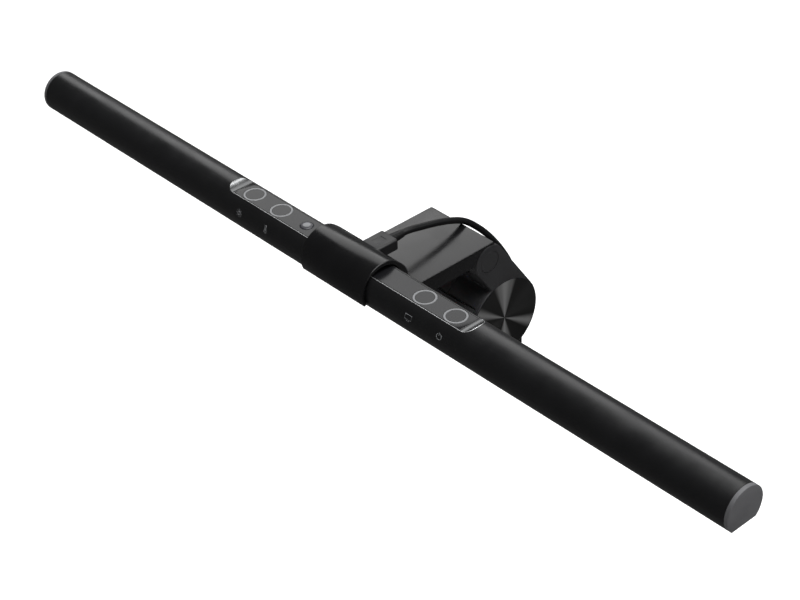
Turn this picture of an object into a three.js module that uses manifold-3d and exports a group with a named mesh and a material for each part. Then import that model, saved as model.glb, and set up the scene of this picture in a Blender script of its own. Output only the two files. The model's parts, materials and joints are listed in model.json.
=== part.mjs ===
// Monitor light bar: a tubular LED lamp held in the collar of a clip that sits
// on top of a monitor, with a hinged counterweight arm behind the screen.
//
// Millimetres, +X to the right of somebody sitting at the monitor, +Y towards
// the back of the monitor, +Z up. The origin is the middle of the rest pad's
// underside, where the clip sits on the monitor's top edge.

import * as THREE from 'three';
import { mergeVertices } from 'three/addons/utils/BufferGeometryUtils.js';
import Module from 'manifold-3d';

const wasm = await Module();
wasm.setup();

// ---------------------------------------------------------------- dimensions

const GAP = 0.3; // running and seating gap between neighbouring pieces
const FIT = 0.1; // clearance of an inlaid piece on each side
const PAST = 1; // how far a cutter runs past the face that it opens
const THROUGH = 30; // half length of a cutter that goes right through a piece

// Lamp
const LAMP_LENGTH = 450;
const LAMP_R = 10.5;
const LAMP_Y = -38;
const LAMP_Z = 18.5;
const CAP_THICKNESS = 1.8;
const TUBE_WALL = 1.2;
const TUBE_HALF = LAMP_LENGTH / 2 - CAP_THICKNESS - GAP / 2;
const TUBE_IN_R = LAMP_R - TUBE_WALL;
const LIGHT_FACE = -7.8; // flat underside, from the lamp's axis
const SLOT_HALF = 6; // half the width of the light slot
const CEILING = 6; // underside of the thick top web
const POCKET_FLOOR = 8.5;
const POCKET_HALF = 76.2;
const POCKET_SCOOP_R = 7.25;
const PANEL_HALF = 75.4;
const PANEL_HALF_WIDTH = 5.6;
const PANEL_THICKNESS = 1.1;
const RING_X = [-67.1, -48, 48, 67.1];
const RING_NAMES = ['brightness', 'colour', 'screen', 'power'];
const RING_R = 5.3;
const RING_WIDTH = 0.75;
const RING_DEPTH = 0.5;
const RING_PROUD = 0.05;
const RING_SIDES = 28;
const SENSOR_X = -30.1;
const SENSOR_R = 3.2;
const TOUCH_WELL_R = 4; // holes through the web under the touch rings
const SENSOR_WELL_R = 2.2;
const FLANGE_HALF = 6.4; // half width of the diffuser's flange
const TROUGH_HALF = 210; // half length of the reflector
const STRIP_HALF = 206;
const STRIP_TOP = -1.2;
const STRIP_THICKNESS = 1;
const LED_COUNT = 24;
const LED_PITCH = 17;
const LED_SIZE = 3;
const LED_HEIGHT = 0.7;
const LED_RAIL = { half: 212, width: 8.7, low: -0.9, high: 0.6 };
const CONTROL_BOARD = { half: 74, width: 7.2, low: 0.9, high: 2.3 };
const PORT_Z = 4.1; // centre of the USB-C port above the lamp's axis
const PORT_OPENING = { half: 5, front: 6, low: -1.9, high: 2.1 };
const SOCKET = { half: 4.7, front: 2, back: 9, low: -1.6, high: 1.65 };
const SOCKET_WALL = 0.35;

// Clip
const CLIP_HALF = 21;
const COLLAR_R = 12.6;
const COLLAR_CENTRE = [0.35, 0.15]; // y, z from the lamp's axis
const COLLAR_BORE_R = 10.8;
const COLLAR_TIP = THREE.MathUtils.degToRad(204);
const COLLAR_HEEL = THREE.MathUtils.degToRad(-42);
const SHOULDER = THREE.MathUtils.degToRad(50); // where the round top turns into the back
const CLIP_BACK = 14.9; // back of the collar block, from the lamp's axis
const CLIP_FRONT = 11.5; // front of the lower body, from the lamp's axis
const CLIP_FRONT_RISE = 5;
const PORT_NOTCH = { half: 7, front: 7.5, back: 20, low: -4.5, high: 14 }; // from the lamp's axis
const LINER = { half: 8.8, r: 11.6, from: 90, to: 186 }; // degrees
const PLATE_TOP = 10;
const PLATE_BOTTOM = 1.5;
const PLATE_REAR = 31;
const PLATE_WALL = 1.6;
const PLATE_SKIN = 1.4; // thickness of the top over the hollow
const PLATE_FILLET = 4;
const PLATE_EDGE = 1.2;
const HOOK_Y = -19.2; // front face of the hook
const HOOK_THICKNESS = 1.6;
const HOOK_DROP = -10.5;
const HOOK_HALF = 15;
const HOOK_FLANGE = { back: 2, low: PLATE_BOTTOM + 1.6, high: PLATE_BOTTOM + 3 };
const CHASSIS = { half: 18.7, back: 17, low: PLATE_BOTTOM + 3.3, high: PLATE_BOTTOM + 5.3 };
const COVER = { back: 17.4, thickness: 1.4 };
const SCREW_PLACES = [[-13, -14], [13, -14], [-13, 14.6], [13, 14.6]];
const SCREW_R = 1.2;
const SCREW_HOLE_R = 1.4;
const SCREW_HEAD_R = 2.2;
const SCREW_HEAD_WELL_R = 2.4;

// Hinge and arm
const HINGE_Y = 27.7;
const HINGE_Z = 0;
const EAR_R = 8.7;
const EAR_IN = 14.4; // inner face of each ear
const BARREL_HALF = 13.2;
const BARREL_R = 5.5;
const PIN_R = 2;
const PIN_HALF = 19;
const PIN_BORE_R = PIN_R + 0.2;
const WASHER_R = 5;
const HINGE_CAP_R = 5.45;
const HINGE_CAP_THICKNESS = 1;
const DRUM_Y = HINGE_Y + 9.8;
const DRUM_Z = HINGE_Z - 37.2;
const DRUM_R = 21.5;
const DISC_R = 20.7;
const DISC_THICKNESS = 1;
const WEIGHT_R = 18;
const WEIGHT_HALF = 17;
const PAD_R = 21.9;
const PAD_GROOVE_R = DRUM_R - 0.8;
const PAD_HALF = 18.4;
const PAD_FROM = THREE.MathUtils.degToRad(145);
const PAD_TO = THREE.MathUtils.degToRad(245);
const ARM_SCREW_HEAD = { r: 2.5, wellR: 2.7, low: -18.9, high: -17.3 };
const ARM_SCREW_TIP = 12;

// Cord
const CORD_D = 3.2;
const PLUG_FRONT = 10.9; // from the lamp's axis
const PLUG_BACK = 23.2;
const PLUG_SHELL = { half: 4.15, height: 1.2, corner: 1.1, tip: 4 };
const PLUG_HOUSING = { half: 5.5, height: 3, corner: 1.2 };
const SLEEVE_BACK = 31;
const SLEEVE_R = [2.5, 1.9];
const COIL_CENTRE = [-16.7, 76.1, -85.4];
const COIL_YAW = THREE.MathUtils.degToRad(-41.5); // turns the coil's axis from +Y towards +X
const COIL_IN_R = 12.9;
const COIL_OUT_R = 23.1;
const COIL_HALF = 8.6;

// ------------------------------------------------------------------ helpers

const parts = new THREE.Group();

const finishes = {
  anodised: { color: 0x1d1d20, roughness: 0.42, metalness: 0.6 },
  cap: { color: 0x4b4b4e, roughness: 0.6, metalness: 0.1 },
  painted: { color: 0x29292c, roughness: 0.55, metalness: 0.2 },
  spun: { color: 0x5a5a5e, roughness: 0.3, metalness: 1 },
  opal: { color: 0xf2f1ec, roughness: 0.5, metalness: 0 },
  white: { color: 0xe6e6e4, roughness: 0.5, metalness: 0 },
  gloss: { color: 0x2c2c30, roughness: 0.2, metalness: 0 },
  light_guide: { color: 0xb9bcc0, roughness: 0.3, metalness: 0 },
  smoked: { color: 0x151518, roughness: 0.1, metalness: 0 },
  board: { color: 0x1f5a35, roughness: 0.6, metalness: 0 },
  aluminium: { color: 0xb7babd, roughness: 0.4, metalness: 1 },
  steel: { color: 0xa9abae, roughness: 0.35, metalness: 1 },
  zinc: { color: 0x8d9093, roughness: 0.5, metalness: 1 },
  rubber: { color: 0x1a1a1b, roughness: 0.9, metalness: 0 },
  nylon: { color: 0xd8d6cc, roughness: 0.5, metalness: 0 },
  plastic: { color: 0x232326, roughness: 0.6, metalness: 0 },
};

function toSolid(geometry) {
  const bare = geometry.clone();
  bare.deleteAttribute('normal');
  bare.deleteAttribute('uv');
  const merged = mergeVertices(bare, 1e-4);
  return new wasm.Manifold(new wasm.Mesh({
    numProp: 3,
    vertProperties: new Float32Array(merged.attributes.position.array),
    triVerts: new Uint32Array(merged.index.array),
  }));
}

function toGeometry(solid) {
  const mesh = solid.getMesh();
  const geometry = new THREE.BufferGeometry();
  geometry.setAttribute('position', new THREE.BufferAttribute(mesh.vertProperties, 3));
  geometry.setIndex(new THREE.BufferAttribute(mesh.triVerts, 1));
  return geometry;
}

function add(name, solid, finish, group = parts) {
  const geometry = toGeometry(solid);
  geometry.computeVertexNormals();
  const mesh = new THREE.Mesh(geometry, new THREE.MeshStandardMaterial(finishes[finish]));
  mesh.name = name;
  group.add(mesh);
}

// A closed polygon, with its corners as [y, z], pushed along X.
const ALONG_X = new THREE.Matrix4().makeBasis(
  new THREE.Vector3(0, 1, 0),
  new THREE.Vector3(0, 0, 1),
  new THREE.Vector3(1, 0, 0),
);

function prismX(corners, x0, x1) {
  const shape = new THREE.Shape(corners.map(([y, z]) => new THREE.Vector2(y, z)));
  const geometry = new THREE.ExtrudeGeometry(shape, { depth: x1 - x0, bevelEnabled: false });
  geometry.translate(0, 0, x0);
  geometry.applyMatrix4(ALONG_X);
  return toSolid(geometry);
}

function box(x0, x1, y0, y1, z0, z1) {
  const geometry = new THREE.BoxGeometry(x1 - x0, y1 - y0, z1 - z0);
  geometry.translate((x0 + x1) / 2, (y0 + y1) / 2, (z0 + z1) / 2);
  return toSolid(geometry);
}

// A bar that lies along X, the same on both sides of the middle.
function bar({ half, width, low, high }) {
  return box(-half, half, -width, width, low, high);
}

function cylinderX(r, x0, x1, y, z, sides = 24) {
  const geometry = new THREE.CylinderGeometry(r, r, x1 - x0, sides);
  geometry.rotateZ(Math.PI / 2);
  geometry.translate((x0 + x1) / 2, y, z);
  return toSolid(geometry);
}

function cylinderZ(r, x, y, z0, z1, sides = 12) {
  const geometry = new THREE.CylinderGeometry(r, r, z1 - z0, sides);
  geometry.rotateX(Math.PI / 2);
  geometry.translate(x, y, (z0 + z1) / 2);
  return toSolid(geometry);
}

// Points on an arc about [y, z], from one angle to another, both ends included.
function arc(y, z, r, from, to, step = 0.11) {
  const count = Math.max(2, Math.ceil(Math.abs(to - from) / step));
  return Array.from({ length: count + 1 }, (_, i) => {
    const angle = from + ((to - from) * i) / count;
    return [y + r * Math.cos(angle), z + r * Math.sin(angle)];
  });
}

const mirrored = (corners) => corners.map(([y, z]) => [-y, z]);

// --------------------------------------------------------------------- lamp

const lamp = new THREE.Group();
lamp.position.set(0, LAMP_Y, LAMP_Z);
parts.add(lamp);

// The round outside of the lamp with its flat light face.
function lampOutline(r = LAMP_R) {
  const low = Math.asin(LIGHT_FACE / r);
  return arc(0, 0, r, low, Math.PI - low);
}

function lampTube() {
  const lip = LIGHT_FACE + TUBE_WALL;
  const inLow = Math.asin(lip / TUBE_IN_R);
  const inHigh = Math.asin(CEILING / TUBE_IN_R);
  const inside = arc(0, 0, TUBE_IN_R, inHigh, inLow);
  const slot = [[SLOT_HALF, lip], [SLOT_HALF, LIGHT_FACE]];
  const outline = [
    ...lampOutline(),
    ...mirrored(slot).reverse(),
    ...mirrored(inside).reverse(),
    ...inside,
    ...slot,
  ];
  let tube = prismX(outline, -TUBE_HALF, TUBE_HALF);
  tube = tube.subtract(controlPocket());
  tube = tube.subtract(box(
    -PANEL_HALF - FIT, PANEL_HALF + FIT,
    -PANEL_HALF_WIDTH - FIT, PANEL_HALF_WIDTH + FIT,
    POCKET_FLOOR - PANEL_THICKNESS - FIT, POCKET_FLOOR + PAST,
  ));
  for (const x of RING_X) {
    tube = tube.subtract(cylinderZ(TOUCH_WELL_R, x, 0, CEILING - PAST, POCKET_FLOOR));
  }
  tube = tube.subtract(cylinderZ(SENSOR_WELL_R, SENSOR_X, 0, CEILING - PAST, POCKET_FLOOR));
  return tube.subtract(box(-PORT_OPENING.half, PORT_OPENING.half, PORT_OPENING.front, LAMP_R + PAST,
    PORT_Z + PORT_OPENING.low, PORT_Z + PORT_OPENING.high));
}

// The milled flat along the top, with a concave scoop at each end.
function controlPocket() {
  const rise = LAMP_R - POCKET_FLOOR;
  const sweep = Math.acos(1 - rise / POCKET_SCOOP_R);
  const scoop = [];
  const steps = 6;
  for (let i = 0; i <= steps; i += 1) {
    const angle = (sweep * i) / steps;
    scoop.push(new THREE.Vector2(
      POCKET_HALF + POCKET_SCOOP_R * Math.sin(angle),
      POCKET_FLOOR + POCKET_SCOOP_R * (1 - Math.cos(angle)),
    ));
  }
  const flare = 2;
  const right = [...scoop, new THREE.Vector2(scoop[steps].x + flare, LAMP_R + PAST)];
  const left = right.map((p) => new THREE.Vector2(-p.x, p.y)).reverse();
  const shape = new THREE.Shape([...right, ...left]);
  const geometry = new THREE.ExtrudeGeometry(shape, { depth: 3 * LAMP_R, bevelEnabled: false });
  geometry.translate(0, 0, -1.5 * LAMP_R);
  geometry.rotateX(Math.PI / 2);
  return toSolid(geometry);
}

function endCap(side) {
  const face = LAMP_LENGTH / 2;
  const back = face - CAP_THICKNESS;
  const spigotDepth = 5;
  const spigotLow = -5.1;
  const spigotHigh = 5.7;
  const spigot = arc(0, 0, TUBE_IN_R - 2 * FIT,
    Math.asin(spigotLow / TUBE_IN_R), Math.asin(spigotHigh / TUBE_IN_R));
  const plate = prismX(lampOutline(), back, face);
  const plug = prismX([...spigot, ...mirrored(spigot).reverse()],
    back - spigotDepth, back + CAP_THICKNESS / 2);
  const cap = plate.add(plug);
  return side > 0 ? cap : cap.mirror([1, 0, 0]);
}

function diffuser() {
  const half = TUBE_HALF - GAP;
  const slotSide = SLOT_HALF - GAP / 2;
  const flangeTop = -5.5;
  const flangeLow = LIGHT_FACE + TUBE_WALL + FIT;
  const right = [
    [slotSide, LIGHT_FACE],
    [slotSide, flangeLow],
    [FLANGE_HALF, flangeLow],
    [FLANGE_HALF, flangeTop],
  ];
  return prismX([...right, ...mirrored(right).reverse()], -half, half);
}

// A white trough that opens downwards, with a window for the LEDs in its roof.
function reflector() {
  const right = [[5.9, -5.3], [5.3, -5.3], [3.6, -3.1]];
  const roof = [[3.9, -2.6]];
  const window = { half: TROUGH_HALF - 4, width: 2, low: -4, high: -2 };
  return prismX([...right, ...mirrored(right).reverse(), ...mirrored(roof), ...roof],
    -TROUGH_HALF, TROUGH_HALF)
    .subtract(box(-window.half, window.half, -window.width, window.width, window.low, window.high));
}

function ledStrip() {
  const width = 4;
  const low = STRIP_TOP - STRIP_THICKNESS;
  const led = LED_SIZE / 2;
  let strip = box(-STRIP_HALF, STRIP_HALF, -width, width, low, STRIP_TOP);
  for (let i = 0; i < LED_COUNT; i += 1) {
    const x = (i - (LED_COUNT - 1) / 2) * LED_PITCH;
    strip = strip.add(box(x - led, x + led, -led, led, low - LED_HEIGHT, low + STRIP_THICKNESS / 2));
  }
  return strip;
}

function usbSocket() {
  const mouth = SOCKET.half - SOCKET_WALL;
  const shell = box(-SOCKET.half, SOCKET.half, SOCKET.front, SOCKET.back,
    PORT_Z + SOCKET.low, PORT_Z + SOCKET.high);
  return shell.subtract(box(-mouth, mouth, SOCKET.front + 1, SOCKET.back + PAST,
    PORT_Z + SOCKET.low + SOCKET_WALL, PORT_Z + SOCKET.high - SOCKET_WALL));
}

function controlPanel() {
  let panel = box(-PANEL_HALF, PANEL_HALF, -PANEL_HALF_WIDTH, PANEL_HALF_WIDTH,
    POCKET_FLOOR - PANEL_THICKNESS, POCKET_FLOOR);
  const low = POCKET_FLOOR - RING_DEPTH - FIT;
  for (const x of RING_X) {
    const groove = cylinderZ(RING_R + FIT, x, 0, low, POCKET_FLOOR + PAST, RING_SIDES)
      .subtract(cylinderZ(RING_R - RING_WIDTH - FIT, x, 0, low - PAST, POCKET_FLOOR + 2 * PAST, RING_SIDES));
    panel = panel.subtract(groove);
  }
  return panel.subtract(cylinderZ(SENSOR_R + 1.5 * FIT, SENSOR_X, 0, 0, POCKET_FLOOR + PAST, RING_SIDES));
}

function lightRing(x) {
  return cylinderZ(RING_R, x, 0, POCKET_FLOOR - RING_DEPTH, POCKET_FLOOR + RING_PROUD, RING_SIDES)
    .subtract(cylinderZ(RING_R - RING_WIDTH, x, 0, POCKET_FLOOR - PAST, POCKET_FLOOR + PAST, RING_SIDES));
}

function sensorLens() {
  const low = POCKET_FLOOR - 0.9;
  const dome = 0.7;
  const profile = [new THREE.Vector2(0, low), new THREE.Vector2(SENSOR_R, low)];
  const steps = 3;
  for (let i = 0; i <= steps; i += 1) {
    const t = i / steps;
    profile.push(new THREE.Vector2(SENSOR_R * (1 - t), POCKET_FLOOR + dome * (1 - (1 - t) ** 2)));
  }
  const geometry = new THREE.LatheGeometry(profile, 20);
  geometry.rotateX(Math.PI / 2);
  geometry.translate(SENSOR_X, 0, 0);
  return toSolid(geometry);
}

add('lamp_tube', lampTube(), 'anodised', lamp);
add('end_cap_left', endCap(-1), 'cap', lamp);
add('end_cap_right', endCap(1), 'cap', lamp);
add('diffuser', diffuser(), 'opal', lamp);
add('reflector', reflector(), 'white', lamp);
add('led_strip', ledStrip(), 'white', lamp);
add('led_rail', bar(LED_RAIL), 'aluminium', lamp);
add('control_board', bar(CONTROL_BOARD), 'board', lamp);
add('usb_socket', usbSocket(), 'steel', lamp);
add('control_panel', controlPanel(), 'gloss', lamp);
RING_X.forEach((x, i) => add(`touch_ring_${RING_NAMES[i]}`, lightRing(x), 'light_guide', lamp));
add('light_sensor_lens', sensorLens(), 'smoked', lamp);

// --------------------------------------------------------------------- clip

// Side view of the clip body: collar over the lamp, then the flat top plate.
function clipOutline() {
  const cy = LAMP_Y + COLLAR_CENTRE[0];
  const cz = LAMP_Z + COLLAR_CENTRE[1];
  const back = LAMP_Y + CLIP_BACK;
  const front = LAMP_Y + CLIP_FRONT;
  const start = new THREE.Vector2(cy + COLLAR_R * Math.cos(SHOULDER), cz + COLLAR_R * Math.sin(SHOULDER));
  const leave = 4.05; // length of the curve's first handle, along the round top
  const arrive = 4.4; // and of its second, up the back
  const bulge = new THREE.CubicBezierCurve(
    start,
    new THREE.Vector2(start.x + leave * Math.sin(SHOULDER), start.y - leave * Math.cos(SHOULDER)),
    new THREE.Vector2(back, LAMP_Z + arrive),
    new THREE.Vector2(back, LAMP_Z),
  ).getPoints(8).slice(1).map((p) => [p.x, p.y]);
  const clear = EAR_R + GAP;
  const rearLow = Math.acos((PLATE_REAR - HINGE_Y) / clear);
  const frontLow = Math.PI - Math.asin((PLATE_BOTTOM - HINGE_Z) / clear);
  return [
    ...arc(LAMP_Y, LAMP_Z, COLLAR_BORE_R, COLLAR_HEEL, COLLAR_TIP),
    ...arc(cy, cz, COLLAR_R, COLLAR_TIP, SHOULDER),
    ...bulge,
    ...arc(back + PLATE_FILLET, PLATE_TOP + PLATE_FILLET, PLATE_FILLET, Math.PI, 1.5 * Math.PI, 0.3),
    ...arc(PLATE_REAR - PLATE_EDGE, PLATE_TOP - PLATE_EDGE, PLATE_EDGE, Math.PI / 2, 0, 0.4),
    ...arc(HINGE_Y, HINGE_Z, clear, rearLow, frontLow, 0.12),
    [front, PLATE_BOTTOM],
    [front, PLATE_BOTTOM + CLIP_FRONT_RISE],
  ];
}

function clipBody() {
  const hollowHalf = CLIP_HALF - PLATE_WALL;
  const hollow = box(-hollowHalf, hollowHalf,
    HOOK_Y - 1.1, PLATE_REAR + PAST, PLATE_BOTTOM - THROUGH, PLATE_TOP - PLATE_SKIN);
  const notch = box(-PORT_NOTCH.half, PORT_NOTCH.half,
    LAMP_Y + PORT_NOTCH.front, LAMP_Y + PORT_NOTCH.back,
    LAMP_Z + PORT_NOTCH.low, LAMP_Z + PORT_NOTCH.high);
  const grooveHalf = LINER.half + 2 * FIT;
  const linerGroove = cylinderX(LINER.r + 1.5 * FIT, -grooveHalf, grooveHalf, LAMP_Y, LAMP_Z, 48)
    .intersect(box(-grooveHalf, grooveHalf, LAMP_Y - 15, LAMP_Y + 1, LAMP_Z - 2, LAMP_Z + 15));
  return prismX(clipOutline(), -CLIP_HALF, CLIP_HALF)
    .subtract(hollow)
    .subtract(notch)
    .subtract(linerGroove);
}

function collarLiner() {
  const from = THREE.MathUtils.degToRad(LINER.from);
  const to = THREE.MathUtils.degToRad(LINER.to);
  return prismX([
    ...arc(LAMP_Y, LAMP_Z, LAMP_R + FIT, from, to),
    ...arc(LAMP_Y, LAMP_Z, LINER.r, to, from),
  ], -LINER.half, LINER.half);
}

function drilled(solid, r, z0, z1) {
  return SCREW_PLACES.reduce((left, [x, y]) => left.subtract(cylinderZ(r, x, y, z0, z1)), solid);
}

// A flat plate, and a web that falls from its back to the hinge barrel.
function clipChassis() {
  const { half, back, low, high } = CHASSIS;
  const webFront = back - 3;
  const plate = box(-half, half, HOOK_Y + 2.5, back, low, high);
  const web = prismX([
    [webFront, low], [HINGE_Y - 8, PLATE_BOTTOM + 1.2], [HINGE_Y - 4, HINGE_Z],
    [HINGE_Y, HINGE_Z], [HINGE_Y, HINGE_Z + BARREL_R - 0.2], [HINGE_Y - 4, high], [webFront, high],
  ], -BARREL_HALF, BARREL_HALF);
  const barrel = cylinderX(BARREL_R, -BARREL_HALF, BARREL_HALF, HINGE_Y, HINGE_Z);
  const bore = cylinderX(PIN_R + FIT, -THROUGH, THROUGH, HINGE_Y, HINGE_Z);
  return drilled(plate.add(web).add(barrel).subtract(bore), SCREW_HOLE_R, low - PAST, high + PAST);
}

function bottomCover() {
  const half = CLIP_HALF - PLATE_WALL - GAP / 2;
  const high = PLATE_BOTTOM + COVER.thickness;
  const wellTop = PLATE_BOTTOM + 0.9;
  const cover = box(-half, half, HOOK_Y + HOOK_THICKNESS + GAP, COVER.back, PLATE_BOTTOM, high);
  const bored = drilled(cover, SCREW_HOLE_R, PLATE_BOTTOM - PAST, high + PAST);
  return drilled(bored, SCREW_HEAD_WELL_R, PLATE_BOTTOM - PAST, wellTop);
}

function frontHook() {
  const { back, low, high } = HOOK_FLANGE;
  const hook = prismX([
    [HOOK_Y, HOOK_DROP], [HOOK_Y + HOOK_THICKNESS, HOOK_DROP], [HOOK_Y + HOOK_THICKNESS, low],
    [back, low], [back, high], [HOOK_Y, high],
  ], -HOOK_HALF, HOOK_HALF);
  return drilled(hook, SCREW_HOLE_R, low - PAST, high + PAST);
}

function hookPad() {
  const half = HOOK_HALF - 0.5;
  const front = HOOK_Y + HOOK_THICKNESS + FIT;
  const thickness = 1.4;
  return box(-half, half, front, front + thickness, HOOK_DROP + 0.5, -2 * FIT);
}

function coverScrew(x, y) {
  const headLow = PLATE_BOTTOM + 0.15;
  const headHigh = PLATE_BOTTOM + 0.8;
  const tip = PLATE_BOTTOM + 5.2;
  return cylinderZ(SCREW_HEAD_R, x, y, headLow, headHigh)
    .add(cylinderZ(SCREW_R, x, y, headHigh - GAP, tip));
}

function frictionWasher(side) {
  const inner = BARREL_HALF + 0.25;
  const outer = EAR_IN - 0.25;
  const washer = cylinderX(WASHER_R, inner, outer, HINGE_Y, HINGE_Z)
    .subtract(cylinderX(PIN_BORE_R, 0, THROUGH, HINGE_Y, HINGE_Z));
  return side > 0 ? washer : washer.mirror([1, 0, 0]);
}

const REST_PAD = { half: 16, front: -11, back: 11 };

add('clip_body', clipBody(), 'painted');
add('collar_liner', collarLiner(), 'nylon');
add('clip_chassis', clipChassis(), 'zinc');
add('bottom_cover', bottomCover(), 'plastic');
add('front_hook', frontHook(), 'painted');
add('hook_pad', hookPad(), 'rubber');
add('rest_pad', box(-REST_PAD.half, REST_PAD.half, REST_PAD.front, REST_PAD.back,
  0, PLATE_BOTTOM - FIT), 'rubber');
add('hinge_pin', cylinderX(PIN_R, -PIN_HALF, PIN_HALF, HINGE_Y, HINGE_Z), 'steel');
add('friction_washer_left', frictionWasher(-1), 'nylon');
add('friction_washer_right', frictionWasher(1), 'nylon');
SCREW_PLACES.forEach(([x, y], i) => add(`cover_screw_${i + 1}`, coverScrew(x, y), 'steel'));

// ---------------------------------------------------------------------- arm

// Direction of the neck: its back line touches the ear and the drum.
const ARM_REACH = Math.hypot(DRUM_Y - HINGE_Y, DRUM_Z - HINGE_Z);
const ARM_LEAN = Math.atan2(DRUM_Y - HINGE_Y, HINGE_Z - DRUM_Z)
  + Math.asin((DRUM_R - EAR_R) / ARM_REACH);
const NECK = [Math.sin(ARM_LEAN), -Math.cos(ARM_LEAN)];
const NECK_BACK = [Math.cos(ARM_LEAN), Math.sin(ARM_LEAN)];

function alongNeck(distance, back = 0) {
  return [
    HINGE_Y + NECK[0] * distance + NECK_BACK[0] * back,
    HINGE_Z + NECK[1] * distance + NECK_BACK[1] * back,
  ];
}

// Side view of the arm: ear, straight neck and round drum.
function armOutline() {
  const corner = alongNeck(15, -EAR_R);
  const cornerAngle = Math.atan2(corner[1] - DRUM_Z, corner[0] - DRUM_Y);
  const joinAngle = cornerAngle + 0.3;
  return [
    ...arc(HINGE_Y, HINGE_Z, EAR_R, ARM_LEAN, ARM_LEAN + Math.PI, 0.12),
    corner,
    ...arc(DRUM_Y, DRUM_Z, DRUM_R, joinAngle, ARM_LEAN + 2 * Math.PI),
  ];
}

const ARM_SCREWS = [alongNeck(13, 3.5), alongNeck(13, -4)];

// Half of the clamshell, drawn for the right side.
function armShell(side) {
  const discSeat = CLIP_HALF - DISC_THICKNESS - 2 * FIT;
  const capSeat = CLIP_HALF - HINGE_CAP_THICKNESS - 2 * FIT;
  const headSeat = -ARM_SCREW_HEAD.high - GAP;
  let shell = prismX(armOutline(), FIT, CLIP_HALF);
  shell = shell.subtract(cylinderX(EAR_R + 2 * GAP, -PAST, EAR_IN, HINGE_Y, HINGE_Z, 36));
  shell = shell.subtract(cylinderX(WEIGHT_R + GAP, -PAST, WEIGHT_HALF + GAP, DRUM_Y, DRUM_Z, 36));
  shell = shell.subtract(cylinderX(DISC_R + GAP / 2, discSeat, THROUGH, DRUM_Y, DRUM_Z, 48));
  shell = shell.subtract(cylinderX(PIN_BORE_R, 0, PIN_HALF + GAP, HINGE_Y, HINGE_Z, 16));
  shell = shell.subtract(cylinderX(HINGE_CAP_R + GAP / 2, capSeat, THROUGH, HINGE_Y, HINGE_Z));
  shell = shell.subtract(padBand(PAD_GROOVE_R - FIT, THROUGH, 0.03, -PAST, PAD_HALF + GAP));
  for (const [y, z] of ARM_SCREWS) {
    shell = side > 0
      ? shell.subtract(cylinderX(SCREW_HOLE_R, -PAST, ARM_SCREW_TIP + 0.5, y, z, 12))
      : shell.subtract(cylinderX(SCREW_HOLE_R, -PAST, THROUGH, y, z, 12))
        .subtract(cylinderX(ARM_SCREW_HEAD.wellR, headSeat, THROUGH, y, z, 16));
  }
  return side > 0 ? shell : shell.mirror([1, 0, 0]);
}

// The band around the front of the drum that the rubber pad fills.
function padBand(r0, r1, margin, x0, x1) {
  const from = PAD_FROM - margin;
  const to = PAD_TO + margin;
  return prismX([
    ...arc(DRUM_Y, DRUM_Z, r1, from, to),
    ...arc(DRUM_Y, DRUM_Z, r0, to, from),
  ], x0, x1);
}

function armScrew([y, z]) {
  const { r, low, high } = ARM_SCREW_HEAD;
  return cylinderX(SCREW_R, high - PAST, ARM_SCREW_TIP, y, z, 12).add(cylinderX(r, low, high, y, z, 16));
}

function screwCover([y, z]) {
  return cylinderX(ARM_SCREW_HEAD.wellR - GAP / 2, -CLIP_HALF, -CLIP_HALF + 1.2, y, z, 16);
}

function disc(side) {
  const chamfer = 0.3;
  const profile = [
    new THREE.Vector2(0, 0),
    new THREE.Vector2(DISC_R, 0),
    new THREE.Vector2(DISC_R, DISC_THICKNESS - chamfer),
    new THREE.Vector2(DISC_R - chamfer, DISC_THICKNESS),
    new THREE.Vector2(0, DISC_THICKNESS),
  ];
  const geometry = new THREE.LatheGeometry(profile, 48);
  geometry.rotateZ(-Math.PI / 2);
  geometry.translate(CLIP_HALF - DISC_THICKNESS, DRUM_Y, DRUM_Z);
  const right = toSolid(geometry);
  return side > 0 ? right : right.mirror([1, 0, 0]);
}

function hingeCap(side) {
  const cap = cylinderX(HINGE_CAP_R, CLIP_HALF - HINGE_CAP_THICKNESS, CLIP_HALF, HINGE_Y, HINGE_Z);
  return side > 0 ? cap : cap.mirror([1, 0, 0]);
}

add('arm_shell_left', armShell(-1), 'painted');
add('arm_shell_right', armShell(1), 'painted');
add('counterweight', cylinderX(WEIGHT_R, -WEIGHT_HALF, WEIGHT_HALF, DRUM_Y, DRUM_Z, 36), 'zinc');
add('disc_left', disc(-1), 'spun');
add('disc_right', disc(1), 'spun');
add('hinge_cap_left', hingeCap(-1), 'painted');
add('hinge_cap_right', hingeCap(1), 'painted');
add('arm_pad', padBand(PAD_GROOVE_R, PAD_R, 0, -PAD_HALF, PAD_HALF), 'rubber');
ARM_SCREWS.forEach((place, i) => {
  add(`arm_screw_${i + 1}`, armScrew(place), 'steel');
  add(`arm_screw_cover_${i + 1}`, screwCover(place), 'plastic');
});

// --------------------------------------------------------------------- cord

// A bar of rounded-rectangle section along Y.
function roundedBar(halfWidth, halfHeight, radius, y0, y1, z) {
  const shape = new THREE.Shape();
  const w = halfWidth - radius;
  const h = halfHeight - radius;
  shape.absarc(w, h, radius, 0, Math.PI / 2, false);
  shape.absarc(-w, h, radius, Math.PI / 2, Math.PI, false);
  shape.absarc(-w, -h, radius, Math.PI, 1.5 * Math.PI, false);
  shape.absarc(w, -h, radius, 1.5 * Math.PI, 2 * Math.PI, false);
  const depth = y1 - y0;
  const geometry = new THREE.ExtrudeGeometry(shape, { depth, bevelEnabled: false, curveSegments: 5 });
  geometry.rotateX(Math.PI / 2);
  geometry.translate(0, y1, z);
  return toSolid(geometry);
}

function taperedSleeve(r0, r1, y0, y1, z) {
  const geometry = new THREE.CylinderGeometry(r1, r0, y1 - y0, 16);
  geometry.translate(0, (y0 + y1) / 2, z);
  return toSolid(geometry);
}

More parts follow.
